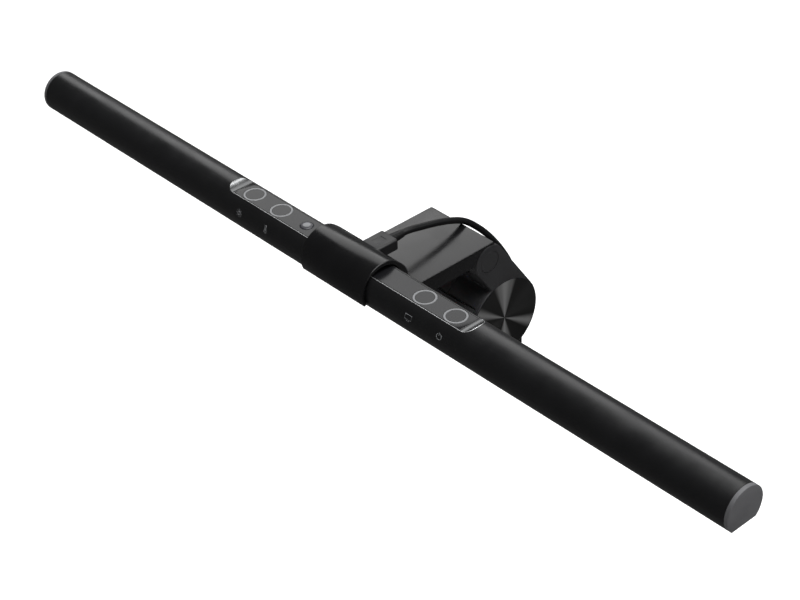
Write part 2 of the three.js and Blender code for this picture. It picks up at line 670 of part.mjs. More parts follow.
function plugShell() {
  return roundedBar(PLUG_SHELL.half, PLUG_SHELL.height, PLUG_SHELL.corner,
    PLUG_SHELL.tip, PLUG_FRONT - GAP, PORT_Z);
}

function plugHousing() {
  return roundedBar(PLUG_HOUSING.half, PLUG_HOUSING.height, PLUG_HOUSING.corner,
    PLUG_FRONT, PLUG_BACK, PORT_Z);
}

add('plug_shell', plugShell(), 'steel', lamp);
add('plug_housing', plugHousing(), 'plastic', lamp);
add('cord_sleeve', taperedSleeve(...SLEEVE_R, PLUG_BACK + GAP, SLEEVE_BACK, PORT_Z), 'rubber', lamp);

// From the sleeve, over the plate's back edge and down behind the arm.
const CORD_ROUTE = [
  [0, -6.4, 22.6], [0, -2.5, 22.3], [0, 3, 20.9], [0, 9, 19.5], [0, 15, 17.9], [0, 21, 16],
  [0, 26, 14], [0, 30.5, 11.8], [0, 35, 8.4], [0, 40, 3.7], [0, 45.5, -2.2], [0, 51, -9.2],
  [0, 56, -16.7], [0.1, 60.6, -25], [0.3, 64, -34], [0.6, 66.2, -43.5], [1.2, 66.8, -53],
  [2, 66.3, -62.5], [2.7, 65.8, -72.8],
];

function cordTube(route, steps) {
  const points = route.map((p) => new THREE.Vector3(...p));
  const curve = new THREE.CatmullRomCurve3(points, false, 'centripetal');
  const shape = new THREE.Shape();
  const sides = 8;
  for (let i = 0; i < sides; i += 1) {
    const angle = (2 * Math.PI * i) / sides;
    const x = (CORD_D / 2) * Math.cos(angle);
    const y = (CORD_D / 2) * Math.sin(angle);
    if (i === 0) shape.moveTo(x, y);
    else shape.lineTo(x, y);
  }
  return toSolid(new THREE.ExtrudeGeometry(shape, { steps, extrudePath: curve, bevelEnabled: false }));
}

add('cord', cordTube(CORD_ROUTE, 20), 'rubber');

// The rest of the cord, wound up for storage and hanging from its free end.
// In this group Y is the coil's own axis and Z is up.
const coil = new THREE.Group();
coil.position.set(...COIL_CENTRE);
coil.rotation.z = COIL_YAW;
parts.add(coil);

function coilRing() {
  const profile = [
    new THREE.Vector2(COIL_IN_R, -COIL_HALF),
    new THREE.Vector2(COIL_OUT_R, -COIL_HALF),
    new THREE.Vector2(COIL_OUT_R, COIL_HALF),
    new THREE.Vector2(COIL_IN_R, COIL_HALF),
    new THREE.Vector2(COIL_IN_R, -COIL_HALF),
  ];
  return toSolid(new THREE.LatheGeometry(profile, 28));
}

// A strap round the coil's turns, at the top.
function coilTie() {
  const half = 4;
  const side = COIL_HALF + GAP;
  const low = COIL_IN_R - 1;
  const high = COIL_OUT_R + GAP;
  const strap = 1;
  return box(-half, half, -side - strap, side + strap, low - strap, high + strap)
    .subtract(box(-2 * half, 2 * half, -side, side, low, high));
}

// The plug at the cord's far end; x and y are its middle, and the rest are heights.
const FAR_PLUG = { x: -3, y: -13.4, top: 12.5, body: 8.5, shell: -8, tip: -19 };

const TAIL_ROUTE = [
  [-18, -10.7, 0], [-18, -11.6, 6], [-17.6, -12.8, 13], [-14.8, -13.4, 18.4], [-10.5, -13.4, 20.2],
  [-6.2, -13.4, 18.6], [-3.5, -13.4, 15.4], [FAR_PLUG.x, FAR_PLUG.y, FAR_PLUG.top + GAP],
];

function farPlugBlock(halfWidth, halfDepth, low, high) {
  return box(FAR_PLUG.x - halfWidth, FAR_PLUG.x + halfWidth,
    FAR_PLUG.y - halfDepth, FAR_PLUG.y + halfDepth, low, high);
}

function farPlugHousing() {
  const low = FAR_PLUG.body - PAST;
  const sleeve = new THREE.CylinderGeometry(1.9, 2.6, FAR_PLUG.top - low, 12);
  sleeve.rotateX(Math.PI / 2);
  sleeve.translate(FAR_PLUG.x, FAR_PLUG.y, (FAR_PLUG.top + low) / 2);
  return farPlugBlock(7, 3.8, FAR_PLUG.shell + GAP, FAR_PLUG.body).add(toSolid(sleeve));
}

add('cord_coil', coilRing(), 'rubber', coil);
add('cord_tie', coilTie(), 'rubber', coil);
add('cord_tail', cordTube(TAIL_ROUTE, 8), 'rubber', coil);
add('far_plug_housing', farPlugHousing(), 'plastic', coil);
add('far_plug_shell', farPlugBlock(6, 2.25, FAR_PLUG.tip, FAR_PLUG.shell), 'steel', coil);

export default parts;
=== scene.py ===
"""Looks of the monitor light bar: every piece in metres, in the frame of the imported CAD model."""

import json
import math

import bmesh
import bpy
from mathutils import Matrix, Vector


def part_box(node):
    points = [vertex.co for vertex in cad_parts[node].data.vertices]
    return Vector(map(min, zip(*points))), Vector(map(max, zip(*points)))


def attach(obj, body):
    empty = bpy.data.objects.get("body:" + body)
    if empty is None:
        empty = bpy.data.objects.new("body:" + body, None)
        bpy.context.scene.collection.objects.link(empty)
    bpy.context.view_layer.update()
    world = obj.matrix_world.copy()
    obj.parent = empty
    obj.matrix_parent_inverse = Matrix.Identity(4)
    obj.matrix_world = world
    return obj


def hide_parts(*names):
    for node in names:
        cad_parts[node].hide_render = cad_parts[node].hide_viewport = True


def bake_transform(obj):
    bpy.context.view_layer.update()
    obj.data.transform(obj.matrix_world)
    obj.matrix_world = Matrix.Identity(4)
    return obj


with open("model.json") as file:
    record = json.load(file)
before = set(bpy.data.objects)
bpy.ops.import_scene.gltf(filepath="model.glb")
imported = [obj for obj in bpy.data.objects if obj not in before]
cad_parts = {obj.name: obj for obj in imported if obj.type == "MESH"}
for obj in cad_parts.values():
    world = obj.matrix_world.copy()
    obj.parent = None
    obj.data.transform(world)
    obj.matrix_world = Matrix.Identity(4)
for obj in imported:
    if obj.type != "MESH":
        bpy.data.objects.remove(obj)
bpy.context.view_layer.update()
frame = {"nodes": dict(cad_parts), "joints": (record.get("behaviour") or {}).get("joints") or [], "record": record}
nodes = frame["nodes"]
slots = {entry["slot"]: entry for entry in frame["record"]["materials"]}
joints = {joint["name"]: joint for joint in frame["joints"]}

# ---------------------------------------------------------------- dimensions

MM = 0.001
LAMP_AXIS = Vector(joints["lamp_tilt"]["pos_m"])
HINGE = Vector(joints["arm_swing"]["pos_m"])
GAP = 0.3 * MM

# Lamp; heights and depths are from the lamp's axis
LAMP_R = 10.5 * MM
LIGHT_FACE = -7.8 * MM
TUBE_WALL = 1.2 * MM
TUBE_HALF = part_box("lamp_tube")[1][0]
CAP_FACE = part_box("end_cap_right")[1][0]
CAP_BACK = CAP_FACE - 1.8 * MM
SLOT_HALF = 6 * MM
CEILING = 6 * MM
POCKET_FLOOR = 8.5 * MM
POCKET_HALF = 76.2 * MM
POCKET_SCOOP_R = 7.25 * MM
RINGS = ["touch_ring_brightness", "touch_ring_colour", "touch_ring_screen", "touch_ring_power"]
RING_R = 5.42 * MM
RING_WIDTH = 1.05 * MM
PORT_HEIGHT = 4.1 * MM
PORT_HALF = (5 * MM, 1.95 * MM)
PORT_CORNER = 1.9 * MM
PORT_DEPTHS = (7 * MM, 14 * MM)
ICON_ANGLE = math.radians(164)
ICON_UNIT = 1.2 * MM
PROUD = 0.03 * MM

# Clip
CLIP_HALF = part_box("clip_body")[1][0]
COLLAR_R = 12.6 * MM
COLLAR_BORE_R = 10.8 * MM
COLLAR_OFFSET = Vector((0, 0.35 * MM, 0.15 * MM))
PLATE_TOP = 10 * MM
PLATE_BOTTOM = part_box("bottom_cover")[0][2]
PLATE_REAR = 31 * MM
PLATE_WALL = 1.6 * MM
HOOK_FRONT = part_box("front_hook")[0][1]
COLLAR_BACK = LAMP_AXIS.y + 14.9 * MM
FOOT_BACK = LAMP_AXIS.y + 11.5 * MM
FOOT_RISE = 5 * MM
# The notch for the plug, from the lamp's axis
NOTCH_HALF = 7 * MM
NOTCH_DEPTHS = (7.5 * MM, 20 * MM)
NOTCH_HEIGHTS = (-4.5 * MM, 14 * MM)

# Arm
EAR_R = 8.7 * MM
EAR_IN = 14.4 * MM
DRUM = (Vector(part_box("disc_right")[0]) + Vector(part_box("disc_right")[1])) / 2
DRUM_R = 21.5 * MM
DISC_R = 20.7 * MM
DISC_THICKNESS = 1 * MM
WEIGHT_HOLE_R = 18.3 * MM
WEIGHT_HOLE_HALF = 17.3 * MM
CAP_R = 5.45 * MM
CAP_SEAT_R = 5.6 * MM
CAP_SEAT_DEPTH = 1.2 * MM
PAD_ANGLES = (145, 245)
PAD_SEAT_MARGIN = 2
PAD_SEAT_HALF = 18.7 * MM
SCREW_SEAT_R = 2.65 * MM
SCREW_SEAT_START = 17 * MM
BEYOND = 5 * MM

# Cord
CORD_D = 3.2 * MM

# -------------------------------------------------------------------- camera


def make_camera():
    """The photograph's viewpoint: from the right, above and in front of the clip."""
    azimuth = math.radians(48.55)
    elevation = math.radians(35.78)
    roll = math.radians(-1.98)
    back = Vector((
        math.sin(azimuth) * math.cos(elevation),
        -math.cos(azimuth) * math.cos(elevation),
        math.sin(elevation),
    ))
    right = Vector((math.cos(azimuth), math.sin(azimuth), 0))
    up = back.cross(right)
    camera_x = right * math.cos(roll) + up * math.sin(roll)
    camera_y = up * math.cos(roll) - right * math.sin(roll)
    camera = bpy.data.objects.new("camera", bpy.data.cameras.new("camera"))
    axes = Matrix((camera_x, camera_y, back)).transposed().to_4x4()
    camera.matrix_world = Matrix.Translation(Vector((571.4, -514.6, 536.1)) * MM) @ axes
    camera.data.sensor_width = 36
    camera.data.lens = 91.48
    camera.data.clip_start = 0.01
    camera.data.clip_end = 20
    bpy.context.scene.collection.objects.link(camera)
    bpy.context.scene.camera = camera


make_camera()

# ------------------------------------------------------------------- helpers


def arc(centre, radius, start, end, step=3.0):
    """Points (y, z) on an arc about centre from one angle to another, in degrees."""
    count = max(2, math.ceil(abs(end - start) / step))
    angles = [math.radians(start + (end - start) * i / count) for i in range(count + 1)]
    return [(centre[0] + radius * math.cos(a), centre[1] + radius * math.sin(a)) for a in angles]


def mirror(outline):
    return [(-y, z) for y, z in outline]


def inset(outline, depth):
    """The closed anticlockwise outline moved inwards by depth."""
    moved = []
    for i, here in enumerate(outline):
        here = Vector(here)
        arriving = (here - Vector(outline[i - 1])).normalized()
        leaving = (Vector(outline[(i + 1) % len(outline)]) - here).normalized()
        first = Vector((-arriving.y, arriving.x))
        second = Vector((-leaving.y, leaving.x))
        middle = (first + second).normalized()
        moved.append(tuple(here + middle * (depth / max(0.5, middle.dot(first)))))
    return moved


def new_piece(name, mesh_builder, sharp=35):
    """Makes an object from a filled bmesh, smooth but for the edges over that many degrees."""
    mesh = bpy.data.meshes.new(name)
    bmesh.ops.recalc_face_normals(mesh_builder, faces=mesh_builder.faces)
    mesh_builder.to_mesh(mesh)
    mesh_builder.free()
    mesh.shade_smooth()
    mesh.set_sharp_from_angle(angle=math.radians(sharp))
    piece = bpy.data.objects.new(name, mesh)
    bpy.context.scene.collection.objects.link(piece)
    return piece


def loft(name, rings, sharp=35):
    """A solid through rings of points, each ring with the same number of points."""
    build = bmesh.new()
    rows = [[build.verts.new(point) for point in ring] for ring in rings]
    for lower, upper in zip(rows, rows[1:]):
        for i in range(len(lower)):
            build.faces.new((lower[i - 1], lower[i], upper[i], upper[i - 1]))
    build.faces.new(rows[0])
    build.faces.new(rows[-1])
    return new_piece(name, build, sharp)


def rounded_rectangle(half_across, half_up, corner, radius):
    """Points round a rectangle whose corners turn about centres corner inside its sides."""
    points = []
    for quarter, (right, up) in enumerate(((1, 1), (-1, 1), (-1, -1), (1, -1))):
        for degrees in range(0, 91, 10):
            angle = math.radians(90 * quarter + degrees)
            points.append((
                right * (half_across - corner) + radius * math.cos(angle),
                up * (half_up - corner) + radius * math.sin(angle),
            ))
    return points


def prism(name, outline, x0, x1, edge=0.2 * MM, origin=Vector((0, 0, 0)), steps=3, ends=(1, 1)):
    """The (y, z) outline pushed along X, with rounded edges at its two ends."""
    rings = []
    for end, side, rounded in ((x0, 1, ends[0]), (x1, -1, ends[1])):
        radius = edge if rounded else 0
        stack = []
        for i in range(steps + 1 if rounded else 1):
            turn = math.pi / 2 * i / steps
            x = end + side * radius * (1 - math.cos(turn))
            section = inset(outline, radius * (1 - math.sin(turn)))
            stack.append([Vector((x, y, z)) + origin for y, z in section])
        rings += stack if side > 0 else stack[::-1]
    return loft(name, rings)


def turned(name, profile, centre, axis="X", segments=96, sharp=35):
    """A lathe piece: profile points are (distance along the axis, radius)."""
    directions = {
        "X": (Vector((1, 0, 0)), Vector((0, 1, 0)), Vector((0, 0, 1))),
        "Y": (Vector((0, 1, 0)), Vector((0, 0, 1)), Vector((1, 0, 0))),
        "Z": (Vector((0, 0, 1)), Vector((1, 0, 0)), Vector((0, 1, 0))),
    }
    along, side, other = directions[axis]
    rings = []
    for distance, radius in profile:
        ring = []
        for i in range(segments):
            angle = 2 * math.pi * i / segments
            offset = side * (radius * math.cos(angle)) + other * (radius * math.sin(angle))
            ring.append(centre + along * distance + offset)
        rings.append(ring)
    return loft(name, rings, sharp=sharp)


def slab(name, low, high, edge=0.3 * MM, steps=3):
    """A box with all its edges rounded."""
    build = bmesh.new()
    bmesh.ops.create_cube(build, size=1)
    size = Vector(high) - Vector(low)
    centre = (Vector(high) + Vector(low)) / 2
    bmesh.ops.scale(build, vec=size, verts=build.verts)
    bmesh.ops.translate(build, vec=centre, verts=build.verts)
    bmesh.ops.bevel(build, geom=build.edges[:], offset=edge, segments=steps, profile=0.5, affect="EDGES")
    return new_piece(name, build, sharp=40)


def cut(piece, *cutters):
    """Takes the cutters' shapes out of the piece, and removes the cutters."""
    for cutter in cutters:
        modifier = piece.modifiers.new("cut", "BOOLEAN")
        modifier.operation = "DIFFERENCE"
        modifier.solver = "EXACT"
        modifier.object = cutter
    settled = piece.evaluated_get(bpy.context.evaluated_depsgraph_get())
    mesh = bpy.data.meshes.new_from_object(settled)
    piece.modifiers.clear()
    piece.data = mesh
    mesh.shade_smooth()
    mesh.set_sharp_from_angle(angle=math.radians(35))
    for cutter in cutters:
        bpy.data.objects.remove(cutter)
    return piece


def fill(node, material):
    """Gives a carried-over CAD node its material."""
    nodes[node].data.materials.clear()
    nodes[node].data.materials.append(material)


def place(piece, body, material, slot, *replaced):
    """The piece rides on the body, takes the material and stands for those CAD nodes."""
    piece.data.materials.clear()
    piece.data.materials.append(material)
    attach(piece, body)
    if replaced:
        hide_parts(*replaced)
    return piece


# ----------------------------------------------------------------- materials

CLOUD = 12 * MM
RELIEF_DEPTH = 0.05 * MM
TURNING_PITCH = 0.35 * MM
# The discs' painted highlights, pale fans set by angle in place of the sunray polish's reflections: (share of a
# half turn about the drum's axis, brightness)
PAINTED_HIGHLIGHT_STOPS = [
    (0.0, 0.05), (0.37, 0.06), (0.42, 0.55), (0.5, 0.95), (0.56, 0.6), (0.62, 0.06),
    (0.76, 0.05), (0.83, 0.75), (0.9, 0.05),
]


def surface(
    slot,
    roughness,
    metallic=0.0,
    grain=0.3 * MM,
    bump=0.1,
    variation=0.12,
    unevenness=0.05,
    tint=1.0,
    specular=0.5,
):
    """A procedural material: fine grain as bump, soft clouds in colour and roughness.

    grain is the size of the fine noise, variation is the share by which the colour
    changes, and unevenness is how far the roughness changes each way. tint scales
    the record's base colour.
    """
    material = bpy.data.materials.new(slot)
    material.use_nodes = True
    tree = material.node_tree
    shader = tree.nodes["Principled BSDF"]
    shader.inputs["Metallic"].default_value = metallic
    shader.inputs["Specular IOR Level"].default_value = specular
    place_on = tree.nodes.new("ShaderNodeTexCoord").outputs["Object"]

    fine = noise(tree, place_on, 1 / grain, 3)
    relief = tree.nodes.new("ShaderNodeBump")
    relief.inputs["Strength"].default_value = bump
    relief.inputs["Distance"].default_value = RELIEF_DEPTH
    tree.links.new(fine, relief.inputs["Height"])
    tree.links.new(relief.outputs["Normal"], shader.inputs["Normal"])

    soft = noise(tree, place_on, 1 / CLOUD, 4)
    base = [channel * tint for channel in slots[slot]["base_color"][:3]]
    ramp = tree.nodes.new("ShaderNodeValToRGB")
    ramp.color_ramp.elements[0].position = 0.3
    ramp.color_ramp.elements[1].position = 0.7
    ramp.color_ramp.elements[0].color = [c * (1 - variation) for c in base] + [1]
    ramp.color_ramp.elements[1].color = [min(1, c * (1 + variation)) for c in base] + [1]
    tree.links.new(soft, ramp.inputs["Fac"])
    tree.links.new(ramp.outputs["Color"], shader.inputs["Base Color"])

    spread = tree.nodes.new("ShaderNodeMapRange")
    spread.inputs["From Min"].default_value = 0.3
    spread.inputs["From Max"].default_value = 0.7
    spread.inputs["To Min"].default_value = max(0.02, roughness - unevenness)
    spread.inputs["To Max"].default_value = min(1, roughness + unevenness)
    tree.links.new(soft, spread.inputs["Value"])
    tree.links.new(spread.outputs["Result"], shader.inputs["Roughness"])
    return material


def noise(tree, place_on, scale, detail):
    node = tree.nodes.new("ShaderNodeTexNoise")
    node.inputs["Scale"].default_value = scale
    node.inputs["Detail"].default_value = detail
    tree.links.new(place_on, node.inputs["Vector"])
    return node.outputs["Fac"]


def math_node(tree, operation, first, second=0.0):
    """A Math node; each input is another node's output or a number."""
    node = tree.nodes.new("ShaderNodeMath")
    node.operation = operation
    for socket, value in zip(node.inputs, (first, second)):
        if isinstance(value, (int, float)):
            socket.default_value = value
        else:
            tree.links.new(value, socket)
    return node.outputs[0]


def spun_metal():
    """Metal turned in a lathe: fine rings, and pale fans of painted highlight, coloured by the angle about the
    drum's axis in place of the polish's reflections.
    """
    material = surface("spun_metal", 0.34, metallic=1.0, variation=0.06, unevenness=0.03, bump=0.02)
    tree = material.node_tree
    shader = tree.nodes["Principled BSDF"]
    shader.inputs["Anisotropic"].default_value = 0.85
    tangent = tree.nodes.new("ShaderNodeTangent")
    tangent.direction_type = "RADIAL"
    tangent.axis = "X"
    tree.links.new(tangent.outputs["Tangent"], shader.inputs["Tangent"])

    split = tree.nodes.new("ShaderNodeSeparateXYZ")
    tree.links.new(tree.nodes.new("ShaderNodeTexCoord").outputs["Object"], split.inputs["Vector"])
    across = math_node(tree, "SUBTRACT", split.outputs["Y"], DRUM.y)
    upwards = math_node(tree, "SUBTRACT", split.outputs["Z"], DRUM.z)
    angle = math_node(tree, "ARCTAN2", upwards, across)
    positive = math_node(tree, "ADD", angle, math.tau)
    half_turns = math_node(tree, "FRACT", math_node(tree, "DIVIDE", positive, math.pi))
    # Painted highlights: brightness set by the angle about the drum's axis stands in for the reflections of the
    # sunray polish.
    painted_highlight_ramp = tree.nodes.new("ShaderNodeValToRGB")
    painted_highlight_ramp.color_ramp.interpolation = "EASE"
    elements = painted_highlight_ramp.color_ramp.elements
    for element, (position, level) in zip(elements, (PAINTED_HIGHLIGHT_STOPS[0], PAINTED_HIGHLIGHT_STOPS[-1])):
        element.position = position
        element.color = (level, level, level, 1)
    for position, level in PAINTED_HIGHLIGHT_STOPS[1:-1]:
        elements.new(position).color = (level, level, level, 1)
    tree.links.new(half_turns, painted_highlight_ramp.inputs["Fac"])
    tree.links.new(painted_highlight_ramp.outputs["Color"], shader.inputs["Base Color"])

    squares = [math_node(tree, "POWER", side, 2) for side in (across, upwards)]
    radius = math_node(tree, "SQRT", math_node(tree, "ADD", *squares))
    rings = math_node(tree, "SINE", math_node(tree, "MULTIPLY", radius, math.tau / TURNING_PITCH))
    relief = next(node for node in tree.nodes if node.type == "BUMP")
    tree.links.new(rings, relief.inputs["Height"])
    return material


def woven_strap():
    """Hook-and-loop tape: a fine grain in its bump and colour, with a soft sheen."""
    material = surface("tie_strap", 0.85, grain=0.2 * MM, bump=0.5, variation=0.3)
    shader = material.node_tree.nodes["Principled BSDF"]
    shader.inputs["Sheen Weight"].default_value = 0.4
    return material


def opal():
    """Frosted light cover, milky and slightly see-through."""
    material = surface("opal_diffuser", 0.4, variation=0.02, bump=0.04)
    shader = material.node_tree.nodes["Principled BSDF"]
    shader.inputs["Subsurface Weight"].default_value = 0.3
    shader.inputs["Subsurface Scale"].default_value = 2 * MM
    return material


# The tints below 1 darken the record's colours to the brightness wanted in the studio's light.
ANODISED = surface("anodised_aluminium", 0.34, grain=0.18 * MM, bump=0.1, specular=0.34, tint=0.14)
END_CAP = surface("end_cap_plastic", 0.62, grain=0.25 * MM, bump=0.25, tint=0.82)
CLIP = surface("clip_finish", 0.22, grain=0.2 * MM, bump=0.08, specular=0.26, tint=0.1)
ARM = surface("arm_plastic", 0.5, grain=0.25 * MM, bump=0.2, specular=0.3, tint=0.38)
SPUN = spun_metal()
PANEL = surface("gloss_panel", 0.2, grain=2 * MM, bump=0.02, specular=0.22, tint=0.12)
LIGHT_GUIDE = surface("light_guide", 0.35, grain=0.4 * MM, bump=0.05, variation=0.05, tint=0.24)
SMOKED = surface("smoked_lens", 0.3, grain=3 * MM, bump=0.02, specular=0.3)
OPAL = opal()
WHITE_FILM = surface("white_film", 0.6, variation=0.03)
CUT_ALUMINIUM = surface("bare_aluminium", 0.26, metallic=1.0, grain=0.15 * MM, bump=0.1, tint=0.15)
BARE_ALUMINIUM = surface("bare_aluminium", 0.4, metallic=1.0, grain=0.4 * MM, variation=0.05)
BOARD = surface("circuit_board", 0.45, grain=0.6 * MM, bump=0.15, variation=0.25)
BRIGHT_STEEL = surface("bright_steel", 0.24, metallic=1.0, grain=0.3 * MM, bump=0.04, variation=0.05)
CAST_ZINC = surface("cast_zinc", 0.5, metallic=1.0, grain=0.5 * MM, bump=0.4, tint=0.12)
WEIGHT = surface("cast_iron_weight", 0.5, metallic=1.0, grain=0.4 * MM, bump=0.3)
BLACK_PLASTIC = surface("black_plastic", 0.58, grain=0.3 * MM, bump=0.3)
BLACK_RUBBER = surface("black_rubber", 0.82, grain=0.25 * MM, bump=0.35, variation=0.2)
NYLON = surface("nylon", 0.4, variation=0.05, tint=0.06)
PLUG_PLASTIC = surface("plug_plastic", 0.4, grain=0.25 * MM, bump=0.2, specular=0.28, tint=0.2)
CORD_JACKET = surface(
    "cord_rubber", 0.42, grain=0.3 * MM, bump=0.12, variation=0.15, specular=0.18, tint=0.16
)
STRAP = woven_strap()
PRINT = surface("light_guide", 0.6, grain=0.4 * MM, tint=0.42)

# ---------------------------------------------------------------------- cord

# The same route as in the part's source: over the plate's back edge and down behind the arm.
CORD_ROUTE = [Vector(point) * MM for point in (
    (0, -6.7, 22.6), (0, -2.5, 22.3), (0, 3, 20.9), (0, 9, 19.5), (0, 15, 17.9), (0, 21, 16),
    (0, 26, 14), (0, 30.5, 11.8), (0, 35, 8.4), (0, 40, 3.7), (0, 45.5, -2.2), (0, 51, -9.2),
    (0, 56, -16.7), (0.1, 60.6, -25), (0.3, 64, -34), (0.6, 66.2, -43.5), (1.2, 66.8, -53),
    (2, 66.3, -62.5), (2.7, 65.8, -72.8),
)]
COIL_CENTRE = Vector((-16.7, 76.1, -85.4)) * MM
COIL_YAW = math.radians(-41.5)
COIL_PITCH = 3.35 * MM
COIL_LAYERS = 3
COIL_RADII = [(21.35 - 3.35 * layer) * MM for layer in range(COIL_LAYERS)]
COIL_TURNS = 11.5
TURNS_ACROSS = 4
# Shares of a turn: where the cord steps sideways, and where it steps to the next layer
SIDE_STEP = (0.5, 0.667)
LAYER_STEP = (0.667, 0.833)
# The last turn: how far the cord moves aside and outwards to meet the tail, and in which turns
ASIDE, ASIDE_TURNS = 4.6 * MM, (11.2, 11.42)
OUTWARDS, OUTWARDS_TURNS = 3.35 * MM, (11.38, 11.5)

# From the coil's face to the far plug, from the coil's centre, with Y along the coil's axis.
TAIL_ROUTE = [Vector(point) * MM for point in (
    (-18, -11.6, 6), (-17.6, -12.8, 13), (-14.8, -13.4, 18.4), (-10.5, -13.4, 20.2),
    (-6.2, -13.4, 18.6), (-3.5, -13.4, 15.4), (-3, -13.4, 12.8),
)]
FAR_PLUG = Vector((-3, -13.4, 0)) * MM


def from_coil(point):
    """A point given from the coil's centre, in the row frame."""
    return COIL_CENTRE + Matrix.Rotation(COIL_YAW, 3, "Z") @ Vector(point)


def eased(value, start, end):
    """0 before start, 1 after end, and smooth between."""
    share = min(1, max(0, (value - start) / (end - start)))
    return share * share * (3 - 2 * share)


def coil_turns():
    """The wound cord: layer on layer inwards, each turn stepping sideways in one sector."""
    half_width = COIL_PITCH * (TURNS_ACROSS - 1) / 2
    points = []
    count = int(COIL_TURNS * 60)
    for i in range(count + 1):
        turn = COIL_TURNS * i / count
        steps = 0
        for layer in range(COIL_LAYERS):
            for n in range(TURNS_ACROSS - 1):
                first = layer * TURNS_ACROSS + n
                steps += (-1) ** layer * eased(turn, first + SIDE_STEP[0], first + SIDE_STEP[1])
        inwards = 0
        for layer in range(1, COIL_LAYERS):
            last = layer * TURNS_ACROSS - 1
            inwards += eased(turn, last + LAYER_STEP[0], last + LAYER_STEP[1])
        across = half_width - COIL_PITCH * steps - ASIDE * eased(turn, *ASIDE_TURNS)
        radius = COIL_RADII[0] - COIL_PITCH * inwards + OUTWARDS * eased(turn, *OUTWARDS_TURNS)
        angle = -2 * math.pi * turn
        points.append(Vector((radius * math.cos(angle), across, radius * math.sin(angle))))
    return points


def curve_through(points, step=1.2 * MM):
    """Catmull-Rom points through the given ones, about a step apart."""
    line = []
    for i in range(len(points) - 1):
        before = points[max(i - 1, 0)]
        start, end = points[i], points[i + 1]
        after = points[min(i + 2, len(points) - 1)]
        count = max(1, round((end - start).length / step))
        for j in range(count):
            t = j / count
            line.append(0.5 * (
                2 * start + (end - before) * t
                + (2 * before - 5 * start + 4 * end - after) * t ** 2
                + (3 * start - before - 3 * end + after) * t ** 3
            ))
    return line + [points[-1]]


def relaxed(line, rounds=6):
    """The line with its small kinks eased out; its ends stay."""
    for _ in range(rounds):
        inner = [(a + 2 * b + c) / 4 for a, b, c in zip(line, line[1:], line[2:])]
        line = [line[0], *inner, line[-1]]
    return line


def sweep(name, line, radius, sides=12):
    """A round tube along the line, without twist."""
    rings = []
    heading = (line[1] - line[0]).normalized()
    side = Vector((1, 0, 0)) - heading * heading.x
    side.normalize()
    angles = [2 * math.pi * k / sides for k in range(sides)]
    for i, point in enumerate(line):
        heading = (line[min(i + 1, len(line) - 1)] - line[max(i - 1, 0)]).normalized()
        side = (side - heading * side.dot(heading)).normalized()
        other = heading.cross(side)
        spokes = [side * (radius * math.cos(a)) + other * (radius * math.sin(a)) for a in angles]
        rings.append([point + spoke for spoke in spokes])
    return loft(name, rings, sharp=60)


def make_cord():
    """One cord from the lamp's plug to the far plug."""
    start = CORD_ROUTE[0] + Vector((0, -1.2, 0.1)) * MM
    guide = [start, *CORD_ROUTE]
    turns = [from_coil(p) for p in coil_turns()]
    tail = [from_coil(p) for p in TAIL_ROUTE]
    line = relaxed(curve_through(guide + turns[::2] + tail))
    cord = sweep("supply_cord", line, CORD_D / 2)
    cord.data.materials.append(CORD_JACKET)
    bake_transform(cord)
    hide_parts("cord", "cord_coil", "cord_tail")
    return cord, line


supply_cord, cord_line = make_cord()

# ---------------------------------------------------------------------- lamp


def lamp_outline():
    """The round outside of the lamp with its flat light face."""
    low = math.degrees(math.asin(LIGHT_FACE / LAMP_R))
    return arc((0, 0), LAMP_R, low, 180 - low, 2.5)


def pocket_rise():
    """Points (x, z) up the scoop at the pocket's right end."""
    sweep = math.acos(1 - (LAMP_R - POCKET_FLOOR) / POCKET_SCOOP_R)
    turns = [sweep * i / 16 for i in range(17)]
    return [(POCKET_HALF + POCKET_SCOOP_R * math.sin(a),
             POCKET_FLOOR + POCKET_SCOOP_R * (1 - math.cos(a))) for a in turns]


def pocket_cutter():
    rise = pocket_rise()
    top = LAMP_R + 2 * MM
    right = [*rise, (rise[-1][0] + 3 * MM, top)]
    section = right + [(-x, z) for x, z in right][::-1]
    rings = [[LAMP_AXIS + Vector((x, y, z)) for x, z in section] for y in (-2 * LAMP_R, 2 * LAMP_R)]
    return loft("pocket_cutter", rings)


def rounded_bar(name, half_width, half_height, corner, y0, y1, height, edge=0.4 * MM, steps=4):
    """A bar along Y from the lamp, its section a rounded rectangle and its ends rounded."""
    rings = []
    for end, side in ((y0, 1), (y1, -1)):
        stack = []
        for i in range(steps + 1):
            turn = math.pi / 2 * i / steps
            radius = max(corner - edge * (1 - math.sin(turn)), 0.05 * MM)
            y = end + side * edge * (1 - math.cos(turn))
            section = rounded_rectangle(half_width, half_height, corner, radius)
            stack.append([LAMP_AXIS + Vector((x, y, z + height)) for x, z in section])
        rings += stack if side > 0 else stack[::-1]
    return loft(name, rings)


def make_tube():
    lip = LIGHT_FACE + TUBE_WALL
    bore = LAMP_R - TUBE_WALL
    in_low = math.degrees(math.asin(lip / bore))
    in_high = math.degrees(math.asin(CEILING / bore))
    inside = arc((0, 0), bore, in_high, in_low, 6)
    slot = [(SLOT_HALF, lip), (SLOT_HALF, LIGHT_FACE)]
    outline = [*lamp_outline(), *mirror(slot)[::-1], *mirror(inside)[::-1], *inside, *slot]
    tube = prism(
        "light_bar_tube", outline, -TUBE_HALF, TUBE_HALF, edge=0.12 * MM, origin=LAMP_AXIS, steps=1
    )
    port = rounded_bar(
        "port_cutter", *PORT_HALF, PORT_CORNER, *PORT_DEPTHS, PORT_HEIGHT, edge=0.01 * MM
    )
    low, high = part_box("control_panel")
    margin = Vector((0.1, 0.1, 0.1)) * MM
    above = Vector((0, 0, MM))
    recess = slab("recess_cutter", Vector(low) - margin, Vector(high) + margin + above, 0.05 * MM)
    cut(tube, pocket_cutter(), port, recess)
    return place(tube, "lamp", ANODISED, "anodised_aluminium", "lamp_tube")


